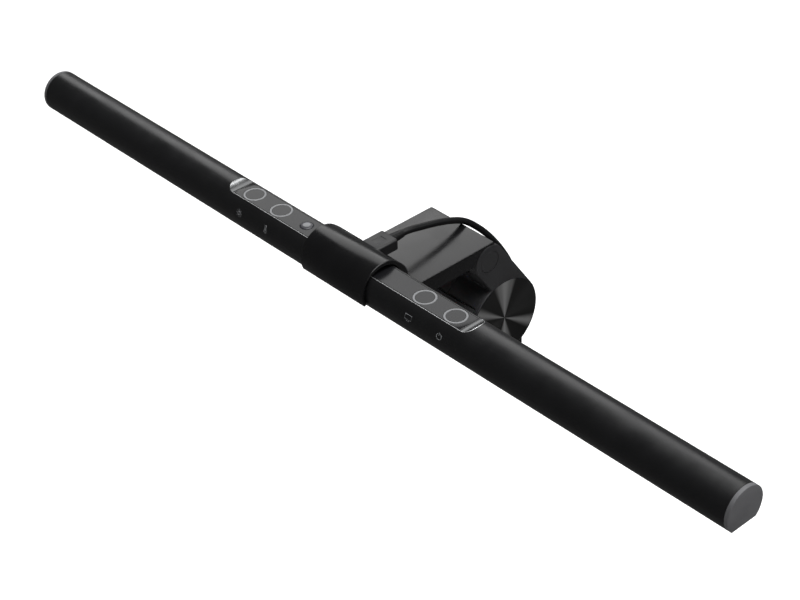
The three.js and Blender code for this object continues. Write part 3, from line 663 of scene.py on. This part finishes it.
def make_end_cap(name, side):
    inner, outer = (CAP_BACK, CAP_FACE) if side > 0 else (-CAP_FACE, -CAP_BACK)
    ends = (0, 1) if side > 0 else (1, 0)
    cap = prism(f"{name}_cover", lamp_outline(), inner, outer, edge=0.3 * MM, origin=LAMP_AXIS, ends=ends)
    return place(cap, "lamp", END_CAP, "end_cap_plastic", name)


def pocket_centre(node):
    """The point on the pocket's floor under the middle of a piece."""
    low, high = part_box(node)
    return Vector(((low[0] + high[0]) / 2, LAMP_AXIS.y, LAMP_AXIS.z + POCKET_FLOOR))


def make_panel():
    low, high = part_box("control_panel")
    panel = slab("touch_panel", low, high, edge=0.12 * MM, steps=2)
    cutters = []
    clear, depth = 0.12 * MM, 0.5 * MM
    inner, outer = RING_R - RING_WIDTH - clear, RING_R + clear
    profile = [(-depth, inner), (-depth, outer), (MM, outer), (MM, inner), (-depth, inner)]
    for node in RINGS:
        cutters.append(turned_ring(f"{node}_groove", profile, pocket_centre(node)))
    seat_low, seat_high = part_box("light_sensor_lens")
    seat = Vector(((seat_low[0] + seat_high[0]) / 2, LAMP_AXIS.y, seat_low[2]))
    radius = (seat_high[0] - seat_low[0]) / 2 + clear
    cutters.append(turned("lens_seat", [(0.02 * MM, radius), (3 * MM, radius)], seat, "Z", 64))
    cut(panel, *cutters)
    return place(panel, "lamp", PANEL, "gloss_panel", "control_panel")


def turned_ring(name, profile, centre, segments=72):
    """A ring about the vertical axis: its section's points are (height, radius) and close."""
    build = bmesh.new()
    rows = []
    for i in range(segments):
        angle = 2 * math.pi * i / segments
        spoke = Vector((math.cos(angle), math.sin(angle), 0))
        rows.append([build.verts.new(centre + spoke * r + Vector((0, 0, h))) for h, r in profile[:-1]])
    for i in range(segments):
        here, there = rows[i - 1], rows[i]
        for j in range(len(here)):
            build.faces.new((here[j - 1], here[j], there[j], there[j - 1]))
    return new_piece(name, build)


def make_touch_ring(node):
    """A light guide with softly rounded upper edges, let into the panel."""
    inner, outer = RING_R - RING_WIDTH, RING_R
    top, edge = 0.05 * MM, 0.1 * MM
    profile = [
        (-0.45 * MM, inner), (-0.45 * MM, outer), (top - edge, outer), (top, outer - edge),
        (top, inner + edge), (top - edge, inner), (-0.45 * MM, inner),
    ]
    ring = turned_ring(f"{node}_guide", profile, pocket_centre(node))
    return place(ring, "lamp", LIGHT_GUIDE, "light_guide", node)


def make_sensor_lens():
    low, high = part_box("light_sensor_lens")
    radius = (high[0] - low[0]) / 2
    centre = pocket_centre("light_sensor_lens")
    dome = high[2] - centre.z
    profile = [(low[2] - centre.z, radius)]
    for i in range(13):
        turn = math.pi / 2 * (i / 12)
        profile.append((dome * math.sin(turn), radius * math.cos(turn) + 0.01 * MM))
    lens = turned("sensor_window", profile, centre, "Z", 64, sharp=50)
    return place(lens, "lamp", SMOKED, "smoked_lens", "light_sensor_lens")


def make_sensor_eye():
    """The pale sensor seen through the middle of the window."""
    low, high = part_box("light_sensor_lens")
    window = (high[0] - low[0]) / 2
    centre = pocket_centre("light_sensor_lens")
    dome = high[2] - centre.z
    radius = 0.55 * window
    profile = [(0.5 * dome, radius)]
    for i in range(9):
        reach = radius * (1 - i / 8)
        profile.append((dome * math.sqrt(1 - (reach / window) ** 2) + PROUD, reach + 0.01 * MM))
    eye = turned("sensor_eye", profile, centre, "Z", 48, sharp=50)
    return place(eye, "lamp", LIGHT_GUIDE, "light_guide")


def make_scoop_lining(side):
    """The cut face of the scoop at one end of the pocket, left as bright metal."""
    rings = []
    for x, z in pocket_rise()[:-1]:
        chord = math.sqrt(LAMP_R ** 2 - z ** 2) - 0.02 * MM
        corners = [(-chord, z + PROUD), (chord, z + PROUD), (chord, z - PROUD), (-chord, z - PROUD)]
        rings.append([LAMP_AXIS + Vector((side * x, y, height)) for y, height in corners])
    lining = loft(f"scoop_face_{'right' if side > 0 else 'left'}", rings)
    return place(lining, "lamp", CUT_ALUMINIUM, "bare_aluminium")


def make_pocket_line():
    """The bright line cut along the front edge of the pocket and round its right end."""
    half_chord = math.sqrt(LAMP_R ** 2 - POCKET_FLOOR ** 2)
    front = [Vector((x, -half_chord, POCKET_FLOOR)) for x in (-POCKET_HALF, 0, POCKET_HALF)]
    scoop = []
    for x, z in pocket_rise()[1:]:
        scoop.append(Vector((x, -math.sqrt(max(LAMP_R ** 2 - z ** 2, 0)), z)))
    back = [Vector((p.x, -p.y, p.z)) for p in scoop[:-1]][::-1]
    path = [LAMP_AXIS + p for p in front + scoop + back]
    curve = bpy.data.curves.new("pocket_line", "CURVE")
    curve.dimensions = "3D"
    curve.bevel_depth = 0.13 * MM
    curve.bevel_resolution = 2
    spline = curve.splines.new("POLY")
    spline.points.add(len(path) - 1)
    for point, target in zip(spline.points, path):
        point.co = (*target, 1)
    line = bpy.data.objects.new("pocket_cut_line", curve)
    bpy.context.scene.collection.objects.link(line)
    return place(line, "lamp", BARE_ALUMINIUM, "bare_aluminium")


def make_lamp():
    make_tube()
    make_end_cap("end_cap_right", 1)
    make_end_cap("end_cap_left", -1)
    make_panel()
    for node in RINGS:
        make_touch_ring(node)
    make_sensor_lens()
    make_sensor_eye()
    make_scoop_lining(1)
    make_scoop_lining(-1)
    make_pocket_line()
    fill("diffuser", OPAL)
    fill("reflector", WHITE_FILM)
    fill("led_strip", WHITE_FILM)
    fill("led_rail", BARE_ALUMINIUM)
    fill("control_board", BOARD)
    fill("usb_socket", BRIGHT_STEEL)


# ---------------------------------------------------------------------- clip


def bezier(start, first, second, end, count=20):
    points = []
    for i in range(count + 1):
        t = i / count
        u = 1 - t
        points.append(tuple(
            u ** 3 * a + 3 * u * u * t * b + 3 * u * t * t * c + t ** 3 * d
            for a, b, c, d in zip(start, first, second, end)
        ))
    return points


def clip_outline():
    """Side view of the clip: collar over the lamp, then the flat top plate."""
    lamp = (LAMP_AXIS.y, LAMP_AXIS.z)
    centre = (lamp[0] + COLLAR_OFFSET.y, lamp[1] + COLLAR_OFFSET.z)
    shoulder = 50
    outer = arc(centre, COLLAR_R, 204, shoulder, 2.5)
    start = outer[-1]
    leaving = (start[0] + 3.1 * MM, start[1] - 2.6 * MM)
    arriving = (COLLAR_BACK, lamp[1] + 4.4 * MM)
    bulge = bezier(start, leaving, arriving, (COLLAR_BACK, lamp[1]))
    fillet = 4 * MM
    edge = 1.2 * MM
    clear = EAR_R + GAP
    hinge = (HINGE.y, HINGE.z)
    rear = math.degrees(math.acos((PLATE_REAR - HINGE.y) / clear))
    front = 180 - math.degrees(math.asin((PLATE_BOTTOM - HINGE.z) / clear))
    outline = [
        *arc(lamp, COLLAR_BORE_R, -42, 204, 2.5),
        *outer,
        *bulge[1:],
        *arc((COLLAR_BACK + fillet, PLATE_TOP + fillet), fillet, 180, 270, 6),
        *arc((PLATE_REAR - edge, PLATE_TOP - edge), edge, 90, 0, 10),
        *arc(hinge, clear, rear, front, 4),
        (FOOT_BACK, PLATE_BOTTOM),
        (FOOT_BACK, PLATE_BOTTOM + FOOT_RISE),
    ]
    return outline[::-1]


def make_clip_body():
    body = prism("clip_housing", clip_outline(), -CLIP_HALF, CLIP_HALF, edge=0.45 * MM, steps=4)
    half = CLIP_HALF - PLATE_WALL
    roof = PLATE_TOP - 1.4 * MM
    hollow = slab("hollow_cutter",
                  (-half, HOOK_FRONT - 1.1 * MM, PLATE_BOTTOM - 20 * MM),
                  (half, HINGE.y + 12 * MM, roof))
    notch = slab("notch_cutter",
                 LAMP_AXIS + Vector((-NOTCH_HALF, NOTCH_DEPTHS[0], NOTCH_HEIGHTS[0])),
                 LAMP_AXIS + Vector((NOTCH_HALF, NOTCH_DEPTHS[1], NOTCH_HEIGHTS[1])), edge=1 * MM)
    cut(body, hollow, notch)
    return place(body, "clip", CLIP, "clip_finish", "clip_body")


def make_rubber_pad(name, node):
    pad = slab(name, *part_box(node), edge=0.4 * MM)
    return place(pad, "clip", BLACK_RUBBER, "black_rubber", node)


def make_hook():
    low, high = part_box("front_hook")
    back = HOOK_FRONT + 1.6 * MM
    shelf, shelf_back = high[2] - 1.4 * MM, 2 * MM
    corner = 0.6 * MM
    outline = [
        *arc((back - corner, low[2] + corner), corner, -90, 0, 15),
        (back, shelf), (shelf_back, shelf), (shelf_back, high[2]), (HOOK_FRONT, high[2]),
        *arc((HOOK_FRONT + corner, low[2] + corner), corner, 180, 270, 15),
    ]
    hook = prism("bezel_hook", outline, low[0], high[0], edge=0.3 * MM)
    return place(hook, "clip", CLIP, "clip_finish", "front_hook")


def make_cover():
    low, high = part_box("bottom_cover")
    cover = slab("underside_cover", low, high, edge=0.3 * MM)
    wells = []
    head, shank = 2.4 * MM, 1.4 * MM
    profile = [(-MM, head), (MM, head), (MM, shank), (3 * MM, shank)]
    for i in range(4):
        centre = screw_centre(f"cover_screw_{i + 1}")
        wells.append(turned(f"screw_well_{i + 1}", profile, centre, "Z", 32))
    cut(cover, *wells)
    return place(cover, "clip", BLACK_PLASTIC, "black_plastic", "bottom_cover")


def screw_centre(node):
    low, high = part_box(node)
    return Vector(((low[0] + high[0]) / 2, (low[1] + high[1]) / 2, low[2]))


def make_cover_screw(node):
    """A pan-head screw seen from below, with a cross recess."""
    centre = screw_centre(node)
    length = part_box(node)[1][2] - centre.z
    profile = [
        (0, 1.5 * MM), (0.08 * MM, 1.95 * MM), (0.25 * MM, 2.15 * MM), (0.6 * MM, 2.2 * MM),
        (0.65 * MM, 1.2 * MM), (length - 0.4 * MM, 1.2 * MM), (length, 0.8 * MM),
    ]
    screw = turned(f"{node}_turned", profile, centre, "Z", 32)
    arm, width, depth = 1.2 * MM, 0.25 * MM, 0.45 * MM
    recess = []
    for turn, size in enumerate(((arm, width, depth), (width, arm, depth))):
        reach = Vector(size)
        recess.append(slab(f"{node}_slot_{turn}", centre - reach, centre + reach, edge=0.05 * MM))
    cut(screw, *recess)
    return place(screw, "clip", BRIGHT_STEEL, "bright_steel", node)


def make_clip():
    make_clip_body()
    make_hook()
    make_cover()
    make_rubber_pad("hook_cushion", "hook_pad")
    make_rubber_pad("rest_cushion", "rest_pad")
    for i in range(4):
        make_cover_screw(f"cover_screw_{i + 1}")
    fill("collar_liner", NYLON)
    fill("clip_chassis", CAST_ZINC)
    fill("hinge_pin", BRIGHT_STEEL)
    fill("friction_washer_left", NYLON)
    fill("friction_washer_right", NYLON)


# ----------------------------------------------------------------------- arm

ARM_REACH = math.hypot(DRUM.y - HINGE.y, DRUM.z - HINGE.z)
ARM_LEAN = math.atan2(DRUM.y - HINGE.y, HINGE.z - DRUM.z) + math.asin((DRUM_R - EAR_R) / ARM_REACH)
NECK = Vector((math.sin(ARM_LEAN), -math.cos(ARM_LEAN)))
NECK_BACK = Vector((math.cos(ARM_LEAN), math.sin(ARM_LEAN)))


def along_neck(distance, back=0.0):
    point = Vector((HINGE.y, HINGE.z)) + NECK * distance + NECK_BACK * back
    return (point.x, point.y)


def arm_outline():
    """Side view of the arm: ear, straight neck and round drum."""
    lean = math.degrees(ARM_LEAN)
    corner = along_neck(15 * MM, -EAR_R)
    before = along_neck(13.6 * MM, -EAR_R)
    angle = math.degrees(math.atan2(corner[1] - DRUM.z, corner[0] - DRUM.y))
    drum = arc((DRUM.y, DRUM.z), DRUM_R, angle + 9, lean + 360, 2.5)
    fillet = bezier(before, corner, corner, drum[0], 8)
    return [*arc((HINGE.y, HINGE.z), EAR_R, lean, lean + 180, 4), *fillet[:-1], *drum]


def pad_band(inner, outer, start, end):
    """Side view of a band on the drum between two angles."""
    centre = (DRUM.y, DRUM.z)
    return [*arc(centre, outer, start, end), *arc(centre, inner, end, start)]


def make_arm_shell(side):
    """Half of the clamshell; its outer edge is rounded and the disc is let into its face."""
    seam, face = 0.08 * MM, CLIP_HALF
    x0, x1 = (seam, face) if side > 0 else (-face, -seam)
    name = "right" if side > 0 else "left"
    shell = prism(f"arm_half_{name}", arm_outline(), x0, x1, edge=0.45 * MM, steps=4)

    def hole(label, radius, start, end, centre, segments=96):
        profile = [(side * start, radius), (side * end, radius)]
        return turned(f"{label}_{name}", profile, Vector((0, centre[0], centre[1])), "X", segments)

    hinge, drum = (HINGE.y, HINGE.z), (DRUM.y, DRUM.z)
    outside = face + BEYOND
    seat_start, seat_end = PAD_ANGLES[0] - PAD_SEAT_MARGIN, PAD_ANGLES[1] + PAD_SEAT_MARGIN
    seat = pad_band(DRUM_R - 0.9 * MM, 30 * MM, seat_start, seat_end)
    seat_ends = (-MM, PAD_SEAT_HALF) if side > 0 else (-PAD_SEAT_HALF, MM)
    cutters = [
        hole("barrel_hole", EAR_R + 0.6 * MM, -MM, EAR_IN, hinge),
        hole("weight_hole", WEIGHT_HOLE_R, -MM, WEIGHT_HOLE_HALF, drum),
        hole("disc_seat", DISC_R + 0.15 * MM, face - DISC_THICKNESS - 0.2 * MM, outside, drum, 128),
        hole("cap_seat", CAP_SEAT_R, face - CAP_SEAT_DEPTH, outside, hinge, 64),
        prism(f"pad_seat_{name}", seat, *seat_ends, ends=(0, 0)),
    ]
    if side < 0:
        for i in (1, 2):
            low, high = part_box(f"arm_screw_cover_{i}")
            centre = ((low[1] + high[1]) / 2, (low[2] + high[2]) / 2)
            cutters.append(hole(f"screw_seat_{i}", SCREW_SEAT_R, SCREW_SEAT_START, outside, centre, 48))
    cut(shell, *cutters)
    return place(shell, "rear_arm", ARM, "arm_plastic", f"arm_shell_{name}")


def make_disc(side):
    """A spun disc with a fine turned rim and a shallow dish."""
    name = "right" if side > 0 else "left"
    depth = DISC_THICKNESS
    profile = [
        (-depth, DISC_R), (-0.25 * MM, DISC_R), (-0.06 * MM, DISC_R - 0.06 * MM), (0, DISC_R - 0.25 * MM),
        (0, DISC_R - 0.5 * MM), (-0.08 * MM, DISC_R - 0.9 * MM), (-0.08 * MM, 0.05 * MM),
    ]
    profile = [(side * distance, radius) for distance, radius in profile]
    centre = Vector((side * CLIP_HALF, DRUM.y, DRUM.z))
    disc = turned(f"spun_disc_{name}", profile, centre, "X", 144, sharp=50)
    return place(disc, "rear_arm", SPUN, "spun_metal", f"disc_{name}")


def make_hinge_cap(side):
    name = "right" if side > 0 else "left"
    bevel, sunk = 0.15 * MM, 0.02 * MM
    profile = [(-MM, CAP_R), (-bevel, CAP_R), (-sunk, CAP_R - bevel), (-sunk, 0.05 * MM)]
    profile = [(side * distance, radius) for distance, radius in profile]
    cap = turned(f"hinge_cover_{name}", profile, Vector((side * CLIP_HALF, HINGE.y, HINGE.z)), "X", 64)
    return place(cap, "rear_arm", ARM, "arm_plastic", f"hinge_cap_{name}")


def make_arm_pad():
    """The rubber band on the drum, with grooves across its width."""
    low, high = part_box("arm_pad")
    inner, outer, groove = DRUM_R - 0.8 * MM, DRUM_R + 0.4 * MM, DRUM_R - 0.1 * MM
    centre = (DRUM.y, DRUM.z)
    bands = []
    start, end = PAD_ANGLES
    count = 10
    for i in range(count):
        first = start + (end - start) * i / count
        last = start + (end - start) * (i + 1) / count
        bands += arc(centre, outer, first + 0.6, last - 0.6, 2.5)
        if i < count - 1:
            bands += arc(centre, groove, last - 0.3, last + 0.3, 0.5)
    outline = [*bands, *arc(centre, inner, end, start)]
    pad = prism("drum_cushion", outline, low[0], high[0], edge=0.25 * MM, steps=2)
    return place(pad, "rear_arm", BLACK_RUBBER, "black_rubber", "arm_pad")


def make_screw_plug(node):
    low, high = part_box(node)
    centre = Vector((low[0], (low[1] + high[1]) / 2, (low[2] + high[2]) / 2))
    radius = (high[1] - low[1]) / 2
    depth = high[0] - low[0]
    profile = [(0.02 * MM, 0.05 * MM), (0.02 * MM, radius - 0.2 * MM), (0.2 * MM, radius), (depth, radius)]
    plug = turned(f"{node}_plug", profile, centre, "X", 48)
    return place(plug, "rear_arm", BLACK_PLASTIC, "black_plastic", node)


def make_arm():
    for side in (-1, 1):
        make_arm_shell(side)
        make_disc(side)
        make_hinge_cap(side)
    make_arm_pad()
    for i in (1, 2):
        make_screw_plug(f"arm_screw_cover_{i}")
        fill(f"arm_screw_{i}", BRIGHT_STEEL)
    fill("counterweight", WEIGHT)


# --------------------------------------------------------- plugs on the cord


def make_lamp_plug():
    """The plug's overmould and the tapered relief behind it."""
    low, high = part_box("plug_housing")
    front, back = low[1] - LAMP_AXIS.y, high[1] - LAMP_AXIS.y
    half_width, half_height = high[0], (high[2] - low[2]) / 2
    housing = rounded_bar("lamp_plug_housing", half_width, half_height, 1.2 * MM, front, back, PORT_HEIGHT,
                          edge=0.5 * MM)
    grip = rounded_bar("grip_cutter", 2.6 * MM, MM, 0.95 * MM, front + 3 * MM, back - 3.6 * MM,
                       PORT_HEIGHT + half_height + 0.82 * MM, edge=0.2 * MM)
    cut(housing, grip)
    place(housing, "lamp", PLUG_PLASTIC, "plug_plastic", "plug_housing")
    low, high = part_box("cord_sleeve")
    start = Vector((0, low[1] - GAP, LAMP_AXIS.z + PORT_HEIGHT))
    length = high[1] - start.y
    profile = []
    rings = 4
    widest, taper = 2.5 * MM, 0.7 * MM
    for i in range(rings):
        first, last = length * i / rings, length * (i + 1) / rings
        wide = widest - taper * i / rings
        groove = wide - 0.16 * MM
        profile += [(first, wide), (last - 0.45 * MM, wide - 0.1 * MM), (last - 0.3 * MM, groove)]
        if i < rings - 1:
            profile.append((last - 0.1 * MM, groove))
    sleeve = turned("lamp_plug_relief", profile, start, "Y", 40, sharp=40)
    place(sleeve, "lamp", CORD_JACKET, "cord_rubber", "cord_sleeve")
    fill("plug_shell", BRIGHT_STEEL)


def coil_slab(name, low, high, edge):
    """A rounded box given from the coil's centre, turned with the coil."""
    piece = slab(name, low, high, edge)
    piece.data.transform(Matrix.Translation(COIL_CENTRE) @ Matrix.Rotation(COIL_YAW, 4, "Z"))
    return piece


def make_far_plug():
    """The USB-A plug at the cord's far end: overmould, relief and hollow metal shell."""
    x, y = FAR_PLUG.x, FAR_PLUG.y
    top, body, shell, tip = 12.5 * MM, 8.5 * MM, -8 * MM, -19 * MM
    mould_x, mould_y = 7 * MM, 3.8 * MM
    shell_x, shell_y, wall = 6 * MM, 2.25 * MM, 0.35 * MM
    mouth_x, mouth_y = shell_x - wall, shell_y - wall
    tongue_x, tongue_y = 5.4 * MM, 1.6 * MM
    housing = coil_slab("far_plug_overmould", (x - mould_x, y - mould_y, shell + 0.1 * MM),
                        (x + mould_x, y + mould_y, body), edge=1.2 * MM)
    place(housing, "clip", PLUG_PLASTIC, "plug_plastic", "far_plug_housing")
    profile = [(0, 2.6 * MM), (0.4 * (top - body), 2.5 * MM), (top - body, 1.95 * MM)]
    relief = turned("far_plug_relief", profile, from_coil((x, y, body - 0.2 * MM)), "Z", 40)
    place(relief, "clip", CORD_JACKET, "cord_rubber")
    sleeve = coil_slab("far_plug_contact", (x - shell_x, y - shell_y, tip),
                       (x + shell_x, y + shell_y, shell + 0.3 * MM), edge=wall)
    mouth = coil_slab("mouth_cutter", (x - mouth_x, y - mouth_y, tip - 2 * MM),
                      (x + mouth_x, y + mouth_y, shell - 0.6 * MM), edge=0.1 * MM)
    cut(sleeve, mouth)
    place(sleeve, "clip", BRIGHT_STEEL, "bright_steel", "far_plug_shell")
    tongue = coil_slab("far_plug_tongue", (x - tongue_x, y - tongue_y, tip + 0.8 * MM),
                       (x + tongue_x, y, shell), edge=0.1 * MM)
    place(tongue, "clip", BLACK_PLASTIC, "black_plastic")
    return [housing, relief, sleeve, tongue]


def make_tie():
    """A strap round the coil's turns: a rounded band, its end lapped over."""
    inner_low = COIL_RADII[-1] - CORD_D / 2 - 0.5 * MM
    inner_high = COIL_RADII[0] + CORD_D / 2 + 0.35 * MM
    half_across = COIL_PITCH * (TURNS_ACROSS - 1) / 2 + CORD_D / 2 + 0.35 * MM
    thick, width = 0.9 * MM, 3.6 * MM
    middle = (inner_low + inner_high) / 2
    half_high = (inner_high - inner_low) / 2
    corner = 1.6 * MM

    def section(across, radius):
        points = rounded_rectangle(half_across, half_high, corner, radius)
        return [from_coil((across, y, middle + z)) for y, z in points]

    bevel = 0.15 * MM
    outside = corner + thick
    rings = [
        section(-width, outside - bevel), section(-width + bevel, outside),
        section(width - bevel, outside), section(width, outside - bevel),
    ]
    strap = loft("coil_strap", rings)
    cut(strap, loft("strap_hole", [section(across, corner) for across in (-2 * width, 2 * width)]))
    lap = coil_slab("strap_lap", (-width + 0.1 * MM, -half_across + MM, inner_high + thick - 0.05 * MM),
                    (width - 0.1 * MM, half_across - 2 * MM, inner_high + thick + 0.3 * MM), edge=0.15 * MM)
    place(strap, "clip", STRAP, "tie_strap", "cord_tie")
    place(lap, "clip", STRAP, "tie_strap")
    return [strap, lap]


# --------------------------------------------------------------------- icons


def icon_line(name, x, strokes, width=0.17 * MM):
    """Thin printed strokes on the front of the tube; points are (along, up) from the icon's centre."""
    curve = bpy.data.curves.new(name, "CURVE")
    curve.dimensions = "3D"
    curve.bevel_depth = width
    curve.bevel_resolution = 1
    for stroke in strokes:
        spline = curve.splines.new("POLY")
        spline.points.add(len(stroke) - 1)
        radius = LAMP_R - 0.08 * MM
        for point, (along, up) in zip(spline.points, stroke):
            angle = ICON_ANGLE - up / LAMP_R
            y, z = radius * math.cos(angle), radius * math.sin(angle)
            point.co = (*(LAMP_AXIS + Vector((x + along, y, z))), 1)
    icon = bpy.data.objects.new(name, curve)
    bpy.context.scene.collection.objects.link(icon)
    return place(icon, "lamp", PRINT, "light_guide")


def circle(radius, start=0, end=360, centre=(0, 0)):
    return arc(centre, radius, start, end, 20)


def make_icons():
    """Plain pictures under the touch rings: sun, thermometer, screen and power."""
    unit = ICON_UNIT
    places = [pocket_centre(node).x for node in RINGS]
    rays = []
    for i in range(8):
        angle = math.tau * i / 8
        rays.append([(r * unit * math.cos(angle), r * unit * math.sin(angle)) for r in (1.15, 1.6)])
    icon_line("icon_sun", places[0], [circle(0.7 * unit), *rays])
    bulb = circle(0.7 * unit, 120, 420, (0, -0.9 * unit))
    stem = [bulb[0], (-0.35 * unit, 1.4 * unit), (0.35 * unit, 1.4 * unit), bulb[-1]]
    icon_line("icon_thermometer", places[1], [bulb, stem, [(0, -0.9 * unit), (0, 0.8 * unit)]])
    screen = [(-1.6, 1.1), (1.6, 1.1), (1.6, -0.9), (-1.6, -0.9), (-1.6, 1.1)]
    foot = [(-0.7, -1.5), (0.7, -1.5)]
    strokes = [[(a * unit, b * unit) for a, b in stroke] for stroke in (screen, foot)]
    icon_line("icon_screen", places[2], strokes)
    power = circle(1.2 * unit, 120, 420)
    icon_line("icon_power", places[3], [power, [(0, 0.3 * unit), (0, 1.6 * unit)]])


make_icons()
make_lamp()
make_clip()
make_arm()
make_lamp_plug()
far_pieces = make_far_plug()
tie_pieces = make_tie()

# ------------------------------------------------------- floor, light, world

MONITOR_HEIGHT = 0.4


def make_floor():
    """A plain pale floor, as far down as the desk under a monitor's top edge."""
    build = bmesh.new()
    bmesh.ops.create_grid(build, x_segments=8, y_segments=8, size=6)
    floor = new_piece("studio_floor", build)
    floor.location.z = -MONITOR_HEIGHT
    material = bpy.data.materials.new("studio_floor")
    material.use_nodes = True
    shader = material.node_tree.nodes["Principled BSDF"]
    shader.inputs["Base Color"].default_value = (0.92, 0.92, 0.92, 1)
    shader.inputs["Roughness"].default_value = 0.9
    floor.data.materials.append(material)
    floor.visible_glossy = False


def make_light(name, place_at, size, power):
    """A rectangular area light aimed at the origin."""
    light = bpy.data.lights.new(name, "AREA")
    light.shape = "RECTANGLE"
    light.size, light.size_y = size
    light.energy = power
    lamp = bpy.data.objects.new(name, light)
    lamp.location = place_at
    lamp.rotation_euler = (-Vector(place_at)).to_track_quat("-Z", "Y").to_euler()
    bpy.context.scene.collection.objects.link(lamp)


def make_world(strength):
    world = bpy.data.worlds.new("studio")
    world.use_nodes = True
    background = world.node_tree.nodes["Background"]
    background.inputs["Color"].default_value = (1, 1, 1, 1)
    background.inputs["Strength"].default_value = strength
    bpy.context.scene.world = world


make_floor()
make_light("softbox_behind", (-1.25, 1.1, 1.25), (1.5, 1.3), 16)
make_light("softbox_above", (0.3, 0.1, 2.4), (2.2, 1.4), 95)
make_light("softbox_behind_right", (1.25, 1.15, 1.3), (0.7, 0.9), 12)
make_light("softbox_scoop", (0.45, 1.2, 1.9), (0.5, 0.5), 9)
make_light("softbox_right", (1.9, -0.3, 0.5), (0.8, 0.8), 4)
make_world(0.12)
bpy.context.scene.view_settings.view_transform = "Standard"
